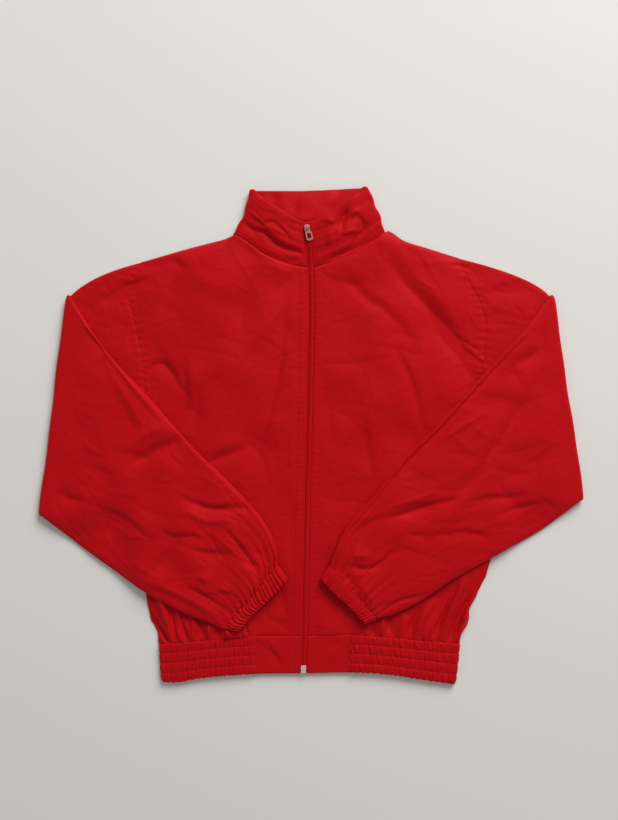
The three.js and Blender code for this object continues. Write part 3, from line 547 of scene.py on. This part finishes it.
def metal_material(name, colour, metallic, roughness):
    """Zip metal, with its colour and gloss rubbed unevenly."""
    material, nodes, links, shader = new_material(name)
    set_inputs(shader, Metallic=metallic)
    place = nodes.new("ShaderNodeTexCoord")
    rub = nodes.new("ShaderNodeTexNoise")
    set_inputs(rub, Scale=900.0, Detail=4.0)
    links.new(place.outputs["Object"], rub.inputs["Vector"])
    tone = nodes.new("ShaderNodeValToRGB")
    tone.color_ramp.elements[0].color = (*[c * 0.72 for c in colour], 1)
    tone.color_ramp.elements[1].color = (*colour, 1)
    links.new(rub.outputs["Fac"], tone.inputs["Fac"])
    links.new(tone.outputs["Color"], shader.inputs["Base Color"])
    gloss = nodes.new("ShaderNodeMapRange")
    set_inputs(gloss, To_Min=roughness, To_Max=roughness + 0.16)
    links.new(rub.outputs["Fac"], gloss.inputs["Value"])
    links.new(gloss.outputs["Result"], shader.inputs["Roughness"])
    return material


SHELL_CLOTH = cloth_material("red_shell_cloth", RED, DEEP_RED, 0.52, 0.25)
GATHERED = cloth_material(
    "red_gathered_cloth", RED, DEEP_RED, 0.56, 0.25, Wrinkle_scale=170.0, Crease_scale=60.0)
THREAD = cloth_material(
    "red_thread", (0.62, 0.005, 0.01), RED, 0.5, 0.3, Weave=0.2, Wrinkle=0.0, Crease=0.0)
TAPE = cloth_material(
    "red_zip_tape", (0.64, 0.0058, 0.0105), RED, 0.75, 0.3,
    Threads_per_metre=1100.0, Weave=0.25, Crease=0.0)
COIL = cloth_material(
    "red_nylon_coil", (0.66, 0.006, 0.011), (0.56, 0.0048, 0.009), 0.45, 0.0,
    Weave=0.0, Wrinkle=0.05, Crease=0.0)
SLIDER_METAL = metal_material("rosy_zip_metal", (0.82, 0.40, 0.41), 0.7, 0.26)
BOX_METAL = metal_material("pale_zip_metal", (0.84, 0.70, 0.60), 0.4, 0.3)


# ---------------- meshes
def mesh_piece(name, points, faces, material):
    """A smooth-shaded object from points in millimetres."""
    mesh = bpy.data.meshes.new(name)
    mesh.from_pydata((np.asarray(points, float).reshape(-1, 3) * MM).tolist(), [], faces)
    mesh.materials.append(material)
    mesh.shade_smooth()
    return add_object(name, mesh)


def grid_faces(rows, wide, ring):
    """Quads of a grid of points. `ring` closes every row on itself."""
    r, c = np.meshgrid(np.arange(rows - 1), np.arange(wide if ring else wide - 1), indexing="ij")
    r, c = r.ravel(), c.ravel()
    across = (c + 1) % wide
    here, ahead = r * wide, (r + 1) * wide
    return np.stack([here + c, here + across, ahead + across, ahead + c], axis=1)


def grid_piece(name, points, material, ring=False, flip=False):
    faces = grid_faces(points.shape[0], points.shape[1], ring)
    if flip:
        faces = faces[:, ::-1]
    return mesh_piece(name, points, faces.tolist(), material)


def thicken(piece, thickness):
    """A wall under the surface that was drawn."""
    solid = piece.modifiers.new("cloth", "SOLIDIFY")
    solid.thickness = thickness * MM
    solid.offset = -1.0
    solid.use_even_offset = False


def wall_piece(name, middle, thickness, material, thin_edge=1.0):
    """A closed wall round a grid of middle points, rounded at both of its long edges. The grid's
    rows run along the piece and its columns across it. The wall narrows towards its last column
    to a share `thin_edge` of its thickness."""
    along = np.gradient(middle, axis=0)
    across = np.gradient(middle, axis=1)
    normal = np.cross(along, across)
    normal /= np.maximum(np.linalg.norm(normal, axis=2, keepdims=True), 1e-9)
    if normal[0, middle.shape[1] // 2, 2] < 0:
        normal = -normal
    edge = even(middle.shape[1])
    width = np.linalg.norm(np.diff(middle, axis=1), axis=2).sum(axis=1, keepdims=True)
    half = 0.5 * thickness * quarter_round(np.minimum(edge, 1 - edge) * width, 0.6 * thickness)
    half = (half * lerp(1, thin_edge, smooth(0.9, 1, edge)))[:, :, None]
    outer = middle + normal * half
    inner = middle - normal * half
    ring = np.concatenate([outer, inner[:, -2:0:-1]], axis=1)
    faces = grid_faces(ring.shape[0], ring.shape[1], True).tolist()
    last = (ring.shape[0] - 1) * ring.shape[1]
    faces.append(list(range(ring.shape[1]))[::-1])
    faces.append([last + i for i in range(ring.shape[1])])
    return mesh_piece(name, ring, faces, material), outer


# ---------------- shared surfaces
zip_x = curve(ZIP_LINE, "y", "x")
band_top = curve(BAND_EDGES, "x", "top")
band_foot = curve(BAND_EDGES, "x", "foot")
for side in SIDES:
    side.side_out = curve(side.side, "y", "out")
    side.top_y = curve(side.top, "out", "y")
    side.top_out = float(side.side_out(side.shoulder_y))


def zip_out(side, y):
    return side.sign * zip_x(y) + ZIP_OPENING / 2


def zip_under(y):
    return FRONT_ZIP + COLLAR_RISE * np.clip((y - NECK_Y) / (COLLAR_TOP_Y - NECK_Y), 0, 1)


def front_height(side, x, y):
    """Top face of a front at (x, y), without its folds."""
    out = side.sign * x
    edge = side.side_out(y)
    armhole = smooth(side.armpit_y - ARMPIT_BLEND, side.armpit_y, y)
    open_side = lerp(quarter_round(edge - out, EDGE_REACH), 1, armhole)
    past_neck = smooth(side.neck_out - 6, side.neck_out + 11, out)
    open_top = lerp(1, quarter_round(side.top_y(out) - y, EDGE_REACH), past_neck)
    across = np.clip((out - zip_out(side, y)) / (edge - zip_out(side, y)), 0, 1)
    level = lerp(FRONT_ZIP, lerp(FRONT_ZIP, FRONT_ARMHOLE, armhole), smooth(0.6, 1, across))
    crown = CHEST_CROWN * np.sin(math.pi * across) * smooth(-40, 100, y) * open_top
    return FRONT_LOW + 1 + (level - FRONT_LOW) * open_side * open_top + crown


def body_relief(x, y):
    """Folds that run over the fronts and the lower part of the sleeves alike."""
    height = relief(BODY_FOLDS, x, y, depth=FOLD_DEPTH) + swell(x, y, 13, 110, 1.3)
    return height + crumple(x, y, 11, 110, 80, 0.6) + crumple(x, y, 12, 240, 30, 0.45)


def armhole_puckers(distance, y):
    """The seam between a front and a sleeve draws short pleats across itself."""
    pleats = 1.5 * (gather(y, 10, 41) - 0.4) * bell(distance, 11)
    small = 0.7 * (gather(y, 4.5, 42) - 0.4) * bell(distance, 5)
    return pleats + small - 0.55 * gather(y, 14, 43) * bell(distance, 1.6)


# ---------------- body
def front_panel(side):
    tops = np.concatenate([
        lerp(zip_out(side, NECK_Y), side.neck_out, even(60)[:-1]),
        lerp(side.neck_out, side.top_out, np.sin(even(80) * math.pi / 2)),
    ])
    rows = even(280)[:, None]
    top = side.top_y(tops)
    share = (tops - zip_out(side, top)) / (side.top_out - zip_out(side, top))
    foot_out = lerp(zip_out(side, BAND_TOP_Y), side.side["out"][0], share)
    neck_lap = SEAM_LAP * smooth(side.neck_out + 4, side.neck_out - 1, tops)
    y = lerp(band_top(side.sign * foot_out) - SEAM_LAP, top + neck_lap, rows)
    below_armpit = smooth(side.armpit_y - 20, side.armpit_y - 90, y)
    wavy = WAVY_EDGE * (gather(y, 26, 45 + side.sign) - 0.5) * below_armpit
    out = lerp(zip_out(side, y), side.side_out(y) + wavy, share)
    x = side.sign * out
    from_zip = out - zip_out(side, y)
    from_edge = side.side_out(y) - out
    from_band = np.maximum(y - band_top(x) + SEAM_LAP, 0)
    from_top = top + neck_lap - y
    z = front_height(side, x, y)
    calm = smooth(4, 26, from_zip) * smooth(0, 14, from_top)
    z = z + body_relief(x, y) * calm
    # Gathers rise from the elastic part of the waistband and fade out upwards.
    elastic = smooth(side.tab_out - 6, side.tab_out + 18, out)
    lean = out - 0.25 * from_band + 3 * np.sin(from_band / 17 + out / 24)
    pleat = gather(lean, BAND_PLEAT, 31 + side.sign) - 0.4
    pleat = pleat * (0.35 + 0.9 * gather(out, 31, 37 + side.sign))
    length = BAND_PLEAT_REACH + swell(out, 0 * out, 32 + side.sign, 40, 12)
    fine = gather(out + 1.5 * np.sin(from_band / 4 + out / 7), SMALL_PLEAT, 33 + side.sign) - 0.4
    fading = np.exp(-(from_band / length) ** 1.5)
    z = z + elastic * BAND_PLEAT_RISE * pleat * fading * smooth(-2, 7, from_band)
    z = z + elastic * SMALL_PLEAT_RISE * fine * np.exp(-from_band / 11) * smooth(0, 3, from_band)
    z = z + elastic * 1.6 * bell(from_band, 26)
    z = z + relief(GATHER_FOLDS, x, y, 0.4, 1.6) * smooth(0, 4, from_band)
    # The front edge is turned under and topstitched, with a pucker at every few stitches.
    turned = smooth(11.5, 9.5, from_zip) * 0.35
    near_zip = smooth(15, 8, from_zip) * smooth(-1, 3, from_zip)
    z = z + turned + 0.5 * (gather(y + 0.15 * from_zip, 7.2, 35 + side.sign) - 0.4) * near_zip
    z = z - 0.25 * bell(from_zip - EDGE_TOPSTITCH, 1.2) - 0.15 * bell(from_zip - EDGE_SEAM, 0.9)
    # Seams at the armhole, the neck and the waistband draw the cloth in.
    tight = smooth(side.armpit_y - 20, side.armpit_y + 20, y)
    z = z + armhole_puckers(from_edge, y) * tight
    neck = smooth(side.neck_out + 2, side.neck_out - 10, out)
    z = z - 1.4 * neck * bell(from_top, 1.9) - (1.5 - 0.9 * elastic) * bell(from_band, 1.9)
    surface = xyz(x, y, np.maximum(z, FRONT_LOW + 0.3))
    piece = grid_piece(f"front_panel_{side.name}", surface, SHELL_CLOTH, flip=side.sign < 0)
    thicken(piece, SHELL)
    return piece, surface


def back_neck(share):
    return lerp(RIGHT.neck_y, LEFT.neck_y, share) - BACK_NECK_DIP * np.sin(math.pi * share)


def back_panel():
    """The back lies flat. Its edges lift a little where the side seams turn up."""
    tops = np.concatenate([
        -lerp(RIGHT.top_out, RIGHT.neck_out, even(14)[:-1]),
        lerp(-RIGHT.neck_out, LEFT.neck_out, even(24)[:-1]),
        lerp(LEFT.neck_out, LEFT.top_out, even(14)),
    ])
    top = np.where(tops < -RIGHT.neck_out, RIGHT.top_y(-tops), LEFT.top_y(tops))
    share_neck = np.clip((tops + RIGHT.neck_out) / (RIGHT.neck_out + LEFT.neck_out), 0, 1)
    top = np.where((tops > -RIGHT.neck_out) & (tops < LEFT.neck_out), back_neck(share_neck), top)
    share = (tops + RIGHT.top_out) / (RIGHT.top_out + LEFT.top_out)
    rows = even(70)[:, None]
    foot = lerp(-RIGHT.side["out"][0], LEFT.side["out"][0], share)
    y = lerp(band_top(foot), top, rows)
    x = lerp(-RIGHT.side_out(y), LEFT.side_out(y), share)
    from_edge = np.minimum(x + RIGHT.side_out(y), LEFT.side_out(y) - x)
    z = 0.55 + bell(from_edge, 7) * smooth(-60, -100, y)
    piece = grid_piece("back_panel", xyz(x, y, z), SHELL_CLOTH)
    thicken(piece, SHELL)
    return piece


# ---------------- sleeves and cuffs
# Shares of the way across a sleeve, closer together towards its two edges.
ACROSS = 0.62 * even(140) + 0.38 * (0.5 - 0.5 * np.cos(math.pi * even(140)))


def sleeve_under(side, x, y):
    out = side.sign * x
    armpit_out = float(side.side_out(side.armpit_y))
    elbow_out, elbow_y = side.sleeve["under_out"][0], side.sleeve["under_y"][0]
    share = np.clip((out - armpit_out) / (elbow_out - armpit_out), 0, 1)
    past_sleeve = lerp(side.armpit_y, elbow_y, share) - y
    past_body = out - side.side_out(y)
    drop = smooth(0, GROUND_REACH, np.minimum(past_sleeve, past_body))
    return lerp(SLEEVE_UNDER, SLEEVE_GROUND, drop)


def line_of(side, row):
    """x and y of the points across a sleeve, and its width there."""
    over_out, over_y, under_out, under_y = row
    x, y = side.sign * lerp(over_out, under_out, ACROSS), lerp(over_y, under_y, ACROSS)
    return x, y, math.hypot(over_out - under_out, over_y - under_y)


def sleeve_ring(middle, up, width, outer_half, inner_half):
    """One closed section: across the outer side and back across the inner one."""
    edge = quarter_round(np.minimum(ACROSS, 1 - ACROSS) * width, SLEEVE_EDGE)
    outer = middle + up * (outer_half * edge)[:, None]
    inner = middle - up * (inner_half * edge)[:, None]
    return np.concatenate([outer, inner[-2:0:-1]])


def sleeve_shell(side):
    rings = []
    t = ACROSS
    # The lower part, from the armhole to the fold, with its outer side down.
    armhole_y = lerp(side.shoulder_y, side.armpit_y, t)
    armhole_x = side.sign * (side.side_out(armhole_y) - ARMHOLE_LAP)
    elbow_x, elbow_y, _ = line_of(side, side.elbow)
    fold = [side.sleeve[key][0] for key in SLEEVE_ENDS]
    fold_x, fold_y, fold_width = line_of(side, fold)
    a = even(46)[:-1, None]
    weights = ((1 - a) * (1 - 2 * a), 4 * a * (1 - a), a * (2 * a - 1))
    x = sum(w * line for w, line in zip(weights, (armhole_x, elbow_x, fold_x)))
    y = sum(w * line for w, line in zip(weights, (armhole_y, elbow_y, fold_y)))
    from_seam = np.hypot(x - armhole_x, y - armhole_y)
    raised = body_relief(x, y) * smooth(0.98, 0.7, a)
    raised += armhole_puckers(from_seam, y) - 0.9 * bell(from_seam, 0.6 * ARMHOLE_LAP)
    raised += 1.6 * np.sin(math.pi * a) * np.sin(math.pi * t)
    middles = xyz(x, y, SLEEVE_HALF)
    for middle, height in zip(middles, SLEEVE_HALF + np.maximum(raised, -1.4)):
        rings.append(sleeve_ring(middle, -UP, fold_width, SLEEVE_HALF, height))
    # The fold: the middle turns half a circle about the fold line.
    outward = np.array([side.sign * (fold[1] - fold[3]), fold[2] - fold[0]]) / fold_width
    wave = 0.6 * np.sin(t * 9.0 + side.sign) + 0.4 * np.sin(t * 23.0)
    for turn in even(15):
        sine, cosine = math.sin(math.pi * turn), math.cos(math.pi * turn)
        up = np.array([outward[0] * sine, outward[1] * sine, -cosine])
        middle = xyz(fold_x, fold_y, TURN_HEIGHT) + up * TURN_RADIUS
        rings.append(sleeve_ring(middle, up, fold_width, SLEEVE_HALF + wave * sine, SLEEVE_HALF))
    # The upper part, from the fold to the cuff, with its outer side up.
    table = dict(side.sleeve, at=even(len(side.sleeve["half"])))
    read = {key: curve(table, "at", key) for key in side.sleeve}
    shares = even(186)[1:]
    grid = []
    for s in shares:
        row = [float(read[key](s)) for key in SLEEVE_ENDS]
        grid.append((*line_of(side, row), float(read["half"](s))))
    all_x, all_y = np.array([g[0] for g in grid]), np.array([g[1] for g in grid])
    raised = relief(SLEEVE_FOLDS, all_x, all_y, depth=FOLD_DEPTH)
    raised += swell(all_x, all_y, 25 + side.sign, 90, 0.9)
    raised += crumple(all_x, all_y, 21 + side.sign, 120, 75, 1.0, 0.3 * side.sign)
    raised += crumple(all_x, all_y, 23 + side.sign, 260, 30, 0.7, 0.3 * side.sign)
    for (x, y, width, half), s, height in zip(grid, shares, raised):
        to_cuff = (1 - s) * CUFF_PACE
        slant = 0.06 * to_cuff * np.sin(9 * t)
        coarse = gather(t * CUFF_WIDTH + slant, 9.0, 53 + side.sign) - 0.4
        fine = 0.6 - (1 - gather(t * CUFF_WIDTH, CUFF_PLEAT, 51 + side.sign)) ** 2
        puff = SLEEVE_PUFF * np.sin(math.pi * t) ** 0.8 * smooth(0, 0.25, s) * smooth(0, 24, to_cuff)
        outer = half + puff + height * smooth(0, 0.08, s) * smooth(0, 10, to_cuff)
        outer = outer + 3.4 * coarse * math.exp(-((to_cuff / 42) ** 1.3)) * smooth(0, 5, to_cuff)
        outer = outer + 2.5 * fine * math.exp(-to_cuff / 13)
        middle = xyz(x, y, sleeve_under(side, x, y) + half)
        thin = 1.2 - half
        rings.append(sleeve_ring(middle, UP, width, np.maximum(outer, thin), half))
    return grid_piece(f"sleeve_shell_{side.name}", np.array(rings), SHELL_CLOTH, ring=True)


def cuff_shell(side):
    """A gathered casing. Its open end is turned in on itself."""
    start = [side.sleeve[key][-1] for key in SLEEVE_ENDS]
    rings = []
    # The share of the cuff's depth, and the share of its thickness that is left there.
    profile = [(-0.02, 0.86), (0.03, 0.88)] + [(s, 1.0) for s in np.linspace(0.1, 0.9, 15)]
    profile += [(0.95, 0.95), (0.985, 0.85), (1.0, 0.7)]
    profile += [(0.99, 0.52), (0.95, 0.42), (0.8, 0.38), (0.5, 0.36)]
    round_cuff = ACROSS * CUFF_WIDTH
    for share, full in profile:
        row = [lerp(a, b, share) for a, b in zip(start, side.cuff_end)]
        x, y, width = line_of(side, row)
        twist = 2.2 * np.sin(2.4 * share + 5 * ACROSS) - 2.2 * np.sin(5 * ACROSS)
        uneven = 0.55 + 0.8 * gather(round_cuff, 16, 55 + side.sign)
        pleats = (0.6 - (1 - gather(round_cuff + twist, CUFF_PLEAT, 51 + side.sign)) ** 2) * uneven
        fine = gather(round_cuff, 2.6, 61 + side.sign) - 0.4
        rise = math.sin(math.pi * min(max(share, 0.1), 0.9))
        outer = CUFF_HALF * full * (0.84 + 0.16 * rise) + (2.5 * pleats + 0.8 * fine) * full
        axis_x, axis_y = side.sign * (side.cuff_end[0] - start[0]), side.cuff_end[1] - start[1]
        reach = 0.13 * share * (pleats + 0.4 * np.sin(7 * ACROSS))
        reach = reach - 0.05 * share * np.abs(2 * ACROSS - 1) ** 6
        middle = xyz(x + axis_x * reach, y + axis_y * reach, SLEEVE_UNDER + CUFF_HALF)
        rings.append(sleeve_ring(middle, UP, width, outer, CUFF_HALF * full))
    return grid_piece(f"cuff_shell_{side.name}", np.array(rings), GATHERED, ring=True)


# ---------------- collar
def collar_side(side, h):
    """How far the folded side of the collar bows and ripples from a straight line."""
    return (side.collar_bow + 1.3 * np.sin(15 * h + 2 * side.sign)) * np.sin(math.pi * h)


def collar_middle():
    """Middle of the collar's wall: rows from the right zip edge round the back to the left one, and
    columns from the neck seam to the top edge."""
    h = even(34)
    low = COLLAR_WALL / 2
    level = FRONT_ZIP + low + COLLAR_RISE * h
    rows = []

    def front_part(side, shares):
        made = []
        for a in shares:
            seam_out = lerp(float(zip_out(side, NECK_Y)), side.neck_out, a)
            top_out = lerp(float(zip_out(side, COLLAR_TOP_Y)), side.collar_top[0], a)
            x = side.sign * (lerp(seam_out, top_out, h) + a**3 * collar_side(side, h))
            sway = 1.8 * math.sin(9 * a + 2 * side.sign) * math.sin(math.pi * a)
            edge_y = lerp(COLLAR_TOP_Y, side.collar_top[1], a**1.35) + sway
            y = lerp(float(side.top_y(seam_out)), edge_y, h)
            bulge = COLLAR_BULGE * math.sin(math.pi * a) * np.sin(0.8 * math.pi * h)
            calm = smooth(0, 8 / 90, a) * smooth(0, 0.08, h)
            folded = (relief(COLLAR_FOLDS, x, y, 0.5, 1.4) + crumple(x, y, 71, 60, 24, 0.7)) * calm
            made.append(xyz(x, y, level + bulge + folded))
        return made

    def turn_part(side, turns):
        made = []
        for turn in turns:
            radius = (level - low) / 2
            out = lerp(side.neck_out, side.collar_top[0], h) + collar_side(side, h)
            out = out + radius * math.sin(math.pi * turn)
            y = lerp(side.neck_y, side.collar_top[1], h)
            z = low + radius * (1 + math.cos(math.pi * turn))
            made.append(xyz(side.sign * out, y, z))
        return made

    shares = even(48)
    turns = even(13)[1:-1]
    rows += front_part(RIGHT, shares) + turn_part(RIGHT, turns)
    for share in even(90):
        seam_x = lerp(-RIGHT.neck_out, LEFT.neck_out, share)
        top_x = lerp(-RIGHT.collar_top[0], LEFT.collar_top[0], share)
        top_y = lerp(RIGHT.collar_top[1], LEFT.collar_top[1], share) - 3 * math.sin(math.pi * share)
        x, y = lerp(seam_x, top_x, h), lerp(float(back_neck(share)), top_y, h)
        soft = BACK_COLLAR_LIFT * math.sin(math.pi * share) ** 0.6 * smooth(0, 0.45, h)
        soft = soft * (1 - 0.3 * smooth(0.6, 1, h)) + relief(BACK_COLLAR_FOLDS, x, y, 0.3, 1.5)
        soft = soft + swell(x, y, 73, 40, 0.7) * h
        rows.append(xyz(x, y, low + np.maximum(soft, 0)))
    rows += turn_part(LEFT, turns[::-1]) + front_part(LEFT, shares[::-1])
    return np.array(rows)


# ---------------- waistband
BAND_TURN = (CASING + BAND_GAP) / 2
BAND_OFFSET = 300.0         # sets one stretch of random ruffles apart from the next


def band_middle():
    """Middle of the elastic waistband's wall: rows from the right tab round the back to the left
    tab, columns from its seam to its foot. The ruffles swell between the stitch rows."""
    h = even(57)
    low = CASING / 2
    # x that gives the row its edges, place across, height, share of the ruffles, distance
    rows = []
    for side in SIDES:
        part = []
        far = side.side["out"][0] - low - BAND_TURN
        for out in np.arange(side.tab_out - 3, far, 1.15):
            tucked = 1.2 * smooth(side.tab_out + 1, side.tab_out - 1, out)
            part.append((side.sign * out, side.sign * out, low + 2 * BAND_TURN - tucked, 1.0, out))
        for turn in even(14)[1:-1]:
            across = side.sign * (far + BAND_TURN * math.sin(math.pi * turn))
            height = low + BAND_TURN * (1 + math.cos(math.pi * turn))
            lift = max(math.cos(math.pi * turn), 0)
            part.append((side.sign * far, across, height, lift, far + 9 * turn))
        if side is RIGHT:
            behind = np.arange(-far, LEFT.side["out"][0] - 5, 4.0)
            rows += part + [(x, x, low + 0.2, 0.0, 0.0) for x in behind]
        else:
            rows += [(*place, distance + BAND_OFFSET) for *place, distance in part[::-1]]
    x, across, height, lift, distance = np.array(rows).T[:, :, None]
    swelling = np.abs(np.sin(CHANNELS * math.pi * h)) ** 0.5
    channel = np.minimum((h * CHANNELS).astype(int), CHANNELS - 1)
    leaning = distance + 1.3 * np.sin(0.31 * distance + 9 * h)
    wide = gather(leaning, RUFFLE, 81) - 0.4
    own = gather(leaning + BAND_OFFSET * (2 + channel), 0.42 * RUFFLE, 82) - 0.4
    ruffled = 1.5 * wide * (0.4 + 0.6 * swelling) + 1.8 * own * swelling
    gathered = (distance > 0) * 1.0
    wavy = 1.6 * (gather(distance, 8, 99) - 0.4) * h**3 * gathered
    top_wave = 1.6 * (gather(distance, 7, 101) - 0.5) * (1 - h) ** 6 * gathered
    y = lerp(band_top(x), band_foot(x) + wavy, h) + top_wave
    outwards = np.sign(across) * (1 - lift) * (0.5 * ruffled + 1.2 * swelling) * gathered
    end = np.sign(across) * smooth(0.9, 1, np.abs(across) / np.abs(across).max())
    outwards = outwards - end * np.where(across > 0, 6 * h, 2 * h) - end * 3 * h**8
    return xyz(across + outwards, y, height + lift * (ruffled + swelling))


def band_tab(side):
    h = even(40)
    rows = []
    for share in even(52):
        tab_x = side.sign * side.tab_out
        y_guess = lerp(float(band_top(tab_x)), float(band_foot(tab_x)), h)
        x = side.sign * lerp(zip_out(side, y_guess), side.tab_out, share)
        y = lerp(band_top(x), band_foot(x), h)
        calm = smooth(0, 0.12, share) * smooth(0, 0.06, h)
        z = FRONT_ZIP + TAB_WALL / 2 + relief(TAB_FOLDS, x, y, 0.3) * calm
        z = z + 0.5 * gather(y, 6.0, 95) * smooth(0.93, 1.0, share)
        z = z - 0.45 * bell(share * (side.tab_out - 6) - EDGE_TOPSTITCH, 1.0)
        rows.append(xyz(x, y, z))
    return np.array(rows)


# ---------------- zip
def tape_piece(side):
    below = np.linspace(ZIP_END_Y + 1, NECK_Y, 220)[:-1]
    above = np.linspace(NECK_Y, COLLAR_TOP_Y - 1, 30)
    y = np.concatenate([below, above])[:, None]
    edge = ZIP_OPENING / 2
    out = np.append(np.linspace(0.2, edge + 0.8, 14), edge + 7)
    x = zip_x(y) + side.sign * out
    ribs = 0.12 * np.sin(2 * math.pi * out / 1.4)
    z = zip_under(y) + 1.2 + ribs - 1.3 * smooth(edge - 0.3, edge + 0.6, out)
    piece = grid_piece(f"zip_tape_{side.name}_cloth", xyz(x, y, z), TAPE, flip=side.sign < 0)
    thicken(piece, 0.6)
    return piece


def bars(name, centres, directions, sizes, material):
    """Many small rounded bars as one mesh: teeth or stitches."""
    length, width, height = sizes
    ring = np.array([(1, 0), (0.5, 0.87), (-0.5, 0.87), (-1, 0), (-0.5, -0.87), (0.5, -0.87)]) * 0.5
    stations = [(-0.5, 0.45), (-0.32, 1.0), (0.32, 1.0), (0.5, 0.45)]
    centres, directions = np.asarray(centres, float), np.asarray(directions, float)
    directions = directions / np.linalg.norm(directions, axis=1, keepdims=True)
    across = np.cross(directions, [0, 0, 1.0])
    across /= np.linalg.norm(across, axis=1, keepdims=True)
    up = np.cross(across, directions)
    points = []
    for along, size in stations:
        for a, b in ring:
            place = centres + directions * (along * length) + across * (a * width * size)
            points.append(place + up * (b * height * size))
    points = np.stack(points, axis=1)
    count = len(ring)
    faces = []
    for k in range(len(stations) - 1):
        for i in range(count):
            j = (i + 1) % count
            faces.append((k * count + i, k * count + j, (k + 1) * count + j, (k + 1) * count + i))
    last = (len(stations) - 1) * count
    caps = [tuple(range(count))[::-1], tuple(last + i for i in range(count))]
    all_faces = []
    for n in range(len(centres)):
        base = n * len(stations) * count
        all_faces += [tuple(base + i for i in face) for face in faces + caps]
    return mesh_piece(name, points, all_faces, material)


def coil_piece():
    """Loops of nylon from the two tapes, which lock along the middle."""
    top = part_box("zip_slider")[0].y / MM
    y = np.arange(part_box("zip_box")[1].y / MM + 0.5, top + 1, TOOTH_PITCH / 2)
    sign = np.where(np.arange(len(y)) % 2, 1.0, -1.0)
    centres = xyz(zip_x(y) + sign * 0.75, y, zip_under(y) + 1.5)
    return bars("coil_teeth", centres, xyz(1, 0.28 * sign, 0), TOOTH, COIL)


def refined(node, name, bevel, material):
    """A copy of a metal piece with its edges rounded."""
    piece = add_object(name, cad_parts[node].data.copy())
    piece.data.materials.clear()
    piece.data.materials.append(material)
    weld = piece.modifiers.new("weld", "WELD")
    weld.merge_threshold = 0.00001
    flat = piece.modifiers.new("flat_faces", "DECIMATE")
    flat.decimate_type = "DISSOLVE"
    flat.angle_limit = math.radians(1)
    edges = piece.modifiers.new("rounded_edges", "BEVEL")
    edges.width = bevel * MM
    edges.segments = 3
    edges.angle_limit = math.radians(25)
    piece.modifiers.new("even_shading", "WEIGHTED_NORMAL")
    piece.data.shade_smooth()
    return piece


# ---------------- stitches
def read_line(at, along, points):
    """The places on a line of points where `along` is `at`."""
    return np.stack([np.interp(at, along, points[:, k]) for k in range(3)], axis=-1)


def stitch_line(points):
    """Centres and directions of the stitches along a line of surface points."""
    points = np.asarray(points, float)
    along = distances(points)
    at = np.arange(STITCH_STEP / 2, along[-1], STITCH_STEP)
    centres = read_line(at, along, points)
    centres[:, 2] += STITCH_LIFT
    ahead = read_line(np.minimum(at + 1, along[-1]), along, points)
    behind = read_line(np.maximum(at - 1, 0), along, points)
    return centres, ahead - behind


def stitches(name, lines):
    centres, directions = zip(*[stitch_line(line) for line in lines])
    centres, directions = np.concatenate(centres), np.concatenate(directions)
    return bars(name, centres, directions, STITCH, THREAD)


# ---------------- the jacket
def attach(piece, node, body="jacket"):
    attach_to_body(piece, body)
    if node:
        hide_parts(node)
    return piece


back = attach(back_panel(), "back")
for side in SIDES:
    front, side.surface = front_panel(side)
    side.front = attach(front, f"front_{side.name}")
    side.shell = attach(sleeve_shell(side), f"sleeve_{side.name}")
    side.cuff = attach(cuff_shell(side), f"cuff_{side.name}")
    tab, _ = wall_piece(f"tab_shell_{side.name}", band_tab(side), TAB_WALL, SHELL_CLOTH)
    side.tab = attach(tab, f"band_tab_{side.name}")
    side.tape = attach(tape_piece(side), f"zip_tape_{side.name}")
collar, _ = wall_piece("collar_shell", collar_middle(), COLLAR_WALL, SHELL_CLOTH, thin_edge=0.3)
attach(collar, "collar")
band, band_surface = wall_piece("band_shell", band_middle(), BAND_WALL, GATHERED)
attach(band, "band_elastic")
attach(coil_piece(), "zip_coil")
attach(refined("zip_slider", "slider_body", 0.25, SLIDER_METAL), "zip_slider")
attach(refined("zip_box", "bottom_box", 0.45, BOX_METAL), "zip_box")
attach(refined("zip_pull", "pull_tab", 0.22, SLIDER_METAL), "zip_pull", "pull")

front_lines = []
for side in SIDES:
    from_zip = side.sign * side.surface[:, :, 0] - zip_out(side, side.surface[:, :, 1])
    for distance in (EDGE_SEAM, EDGE_TOPSTITCH):
        front_lines.append([read_line(distance, *row) for row in zip(from_zip, side.surface)])
attach(stitches("front_edge_stitches", front_lines), None)
channel_rows = [round(k * (band_surface.shape[1] - 1) / CHANNELS) for k in range(1, CHANNELS)]
reach = int(np.argmax(band_surface[:, 30, 2] < BAND_TURN))
band_lines = [band_surface[:reach, r] for r in channel_rows]
band_lines += [band_surface[1 - reach:, r] for r in channel_rows]
attach(stitches("band_stitches", band_lines), None)

# ---------------- floor and light
floor_mesh = bpy.data.meshes.new("floor")
corners = [(x * FLOOR_HALF, y * FLOOR_HALF, 0) for x, y in ((-1, -1), (1, -1), (1, 1), (-1, 1))]
floor_mesh.from_pydata(corners, [], [(0, 1, 2, 3)])
floor = add_object("floor", floor_mesh)
floor_material, _, _, floor_shader = new_material("pale_floor")
set_inputs(floor_shader, Base_Color=(0.80, 0.785, 0.76, 1), Roughness=0.85, Specular_IOR_Level=0.1)
floor_mesh.materials.append(floor_material)

world = bpy.data.worlds.new("soft_room")
bpy.context.scene.world = world
world.use_nodes = True
set_inputs(world.node_tree.nodes["Background"], Color=(1.0, 0.985, 0.96, 1), Strength=0.335)

window = bpy.data.lights.new("window", "AREA")
window.shape = "DISK"
window.size = 2.6
window.energy = 160
window.color = (1.0, 0.985, 0.965)
lamp = add_object("window", window)
lamp.location = (1.4, 3.1, 2.35)
lamp.rotation_euler = (-lamp.location).to_track_quat("-Z", "Y").to_euler()

bpy.context.scene.view_settings.view_transform = "Standard"
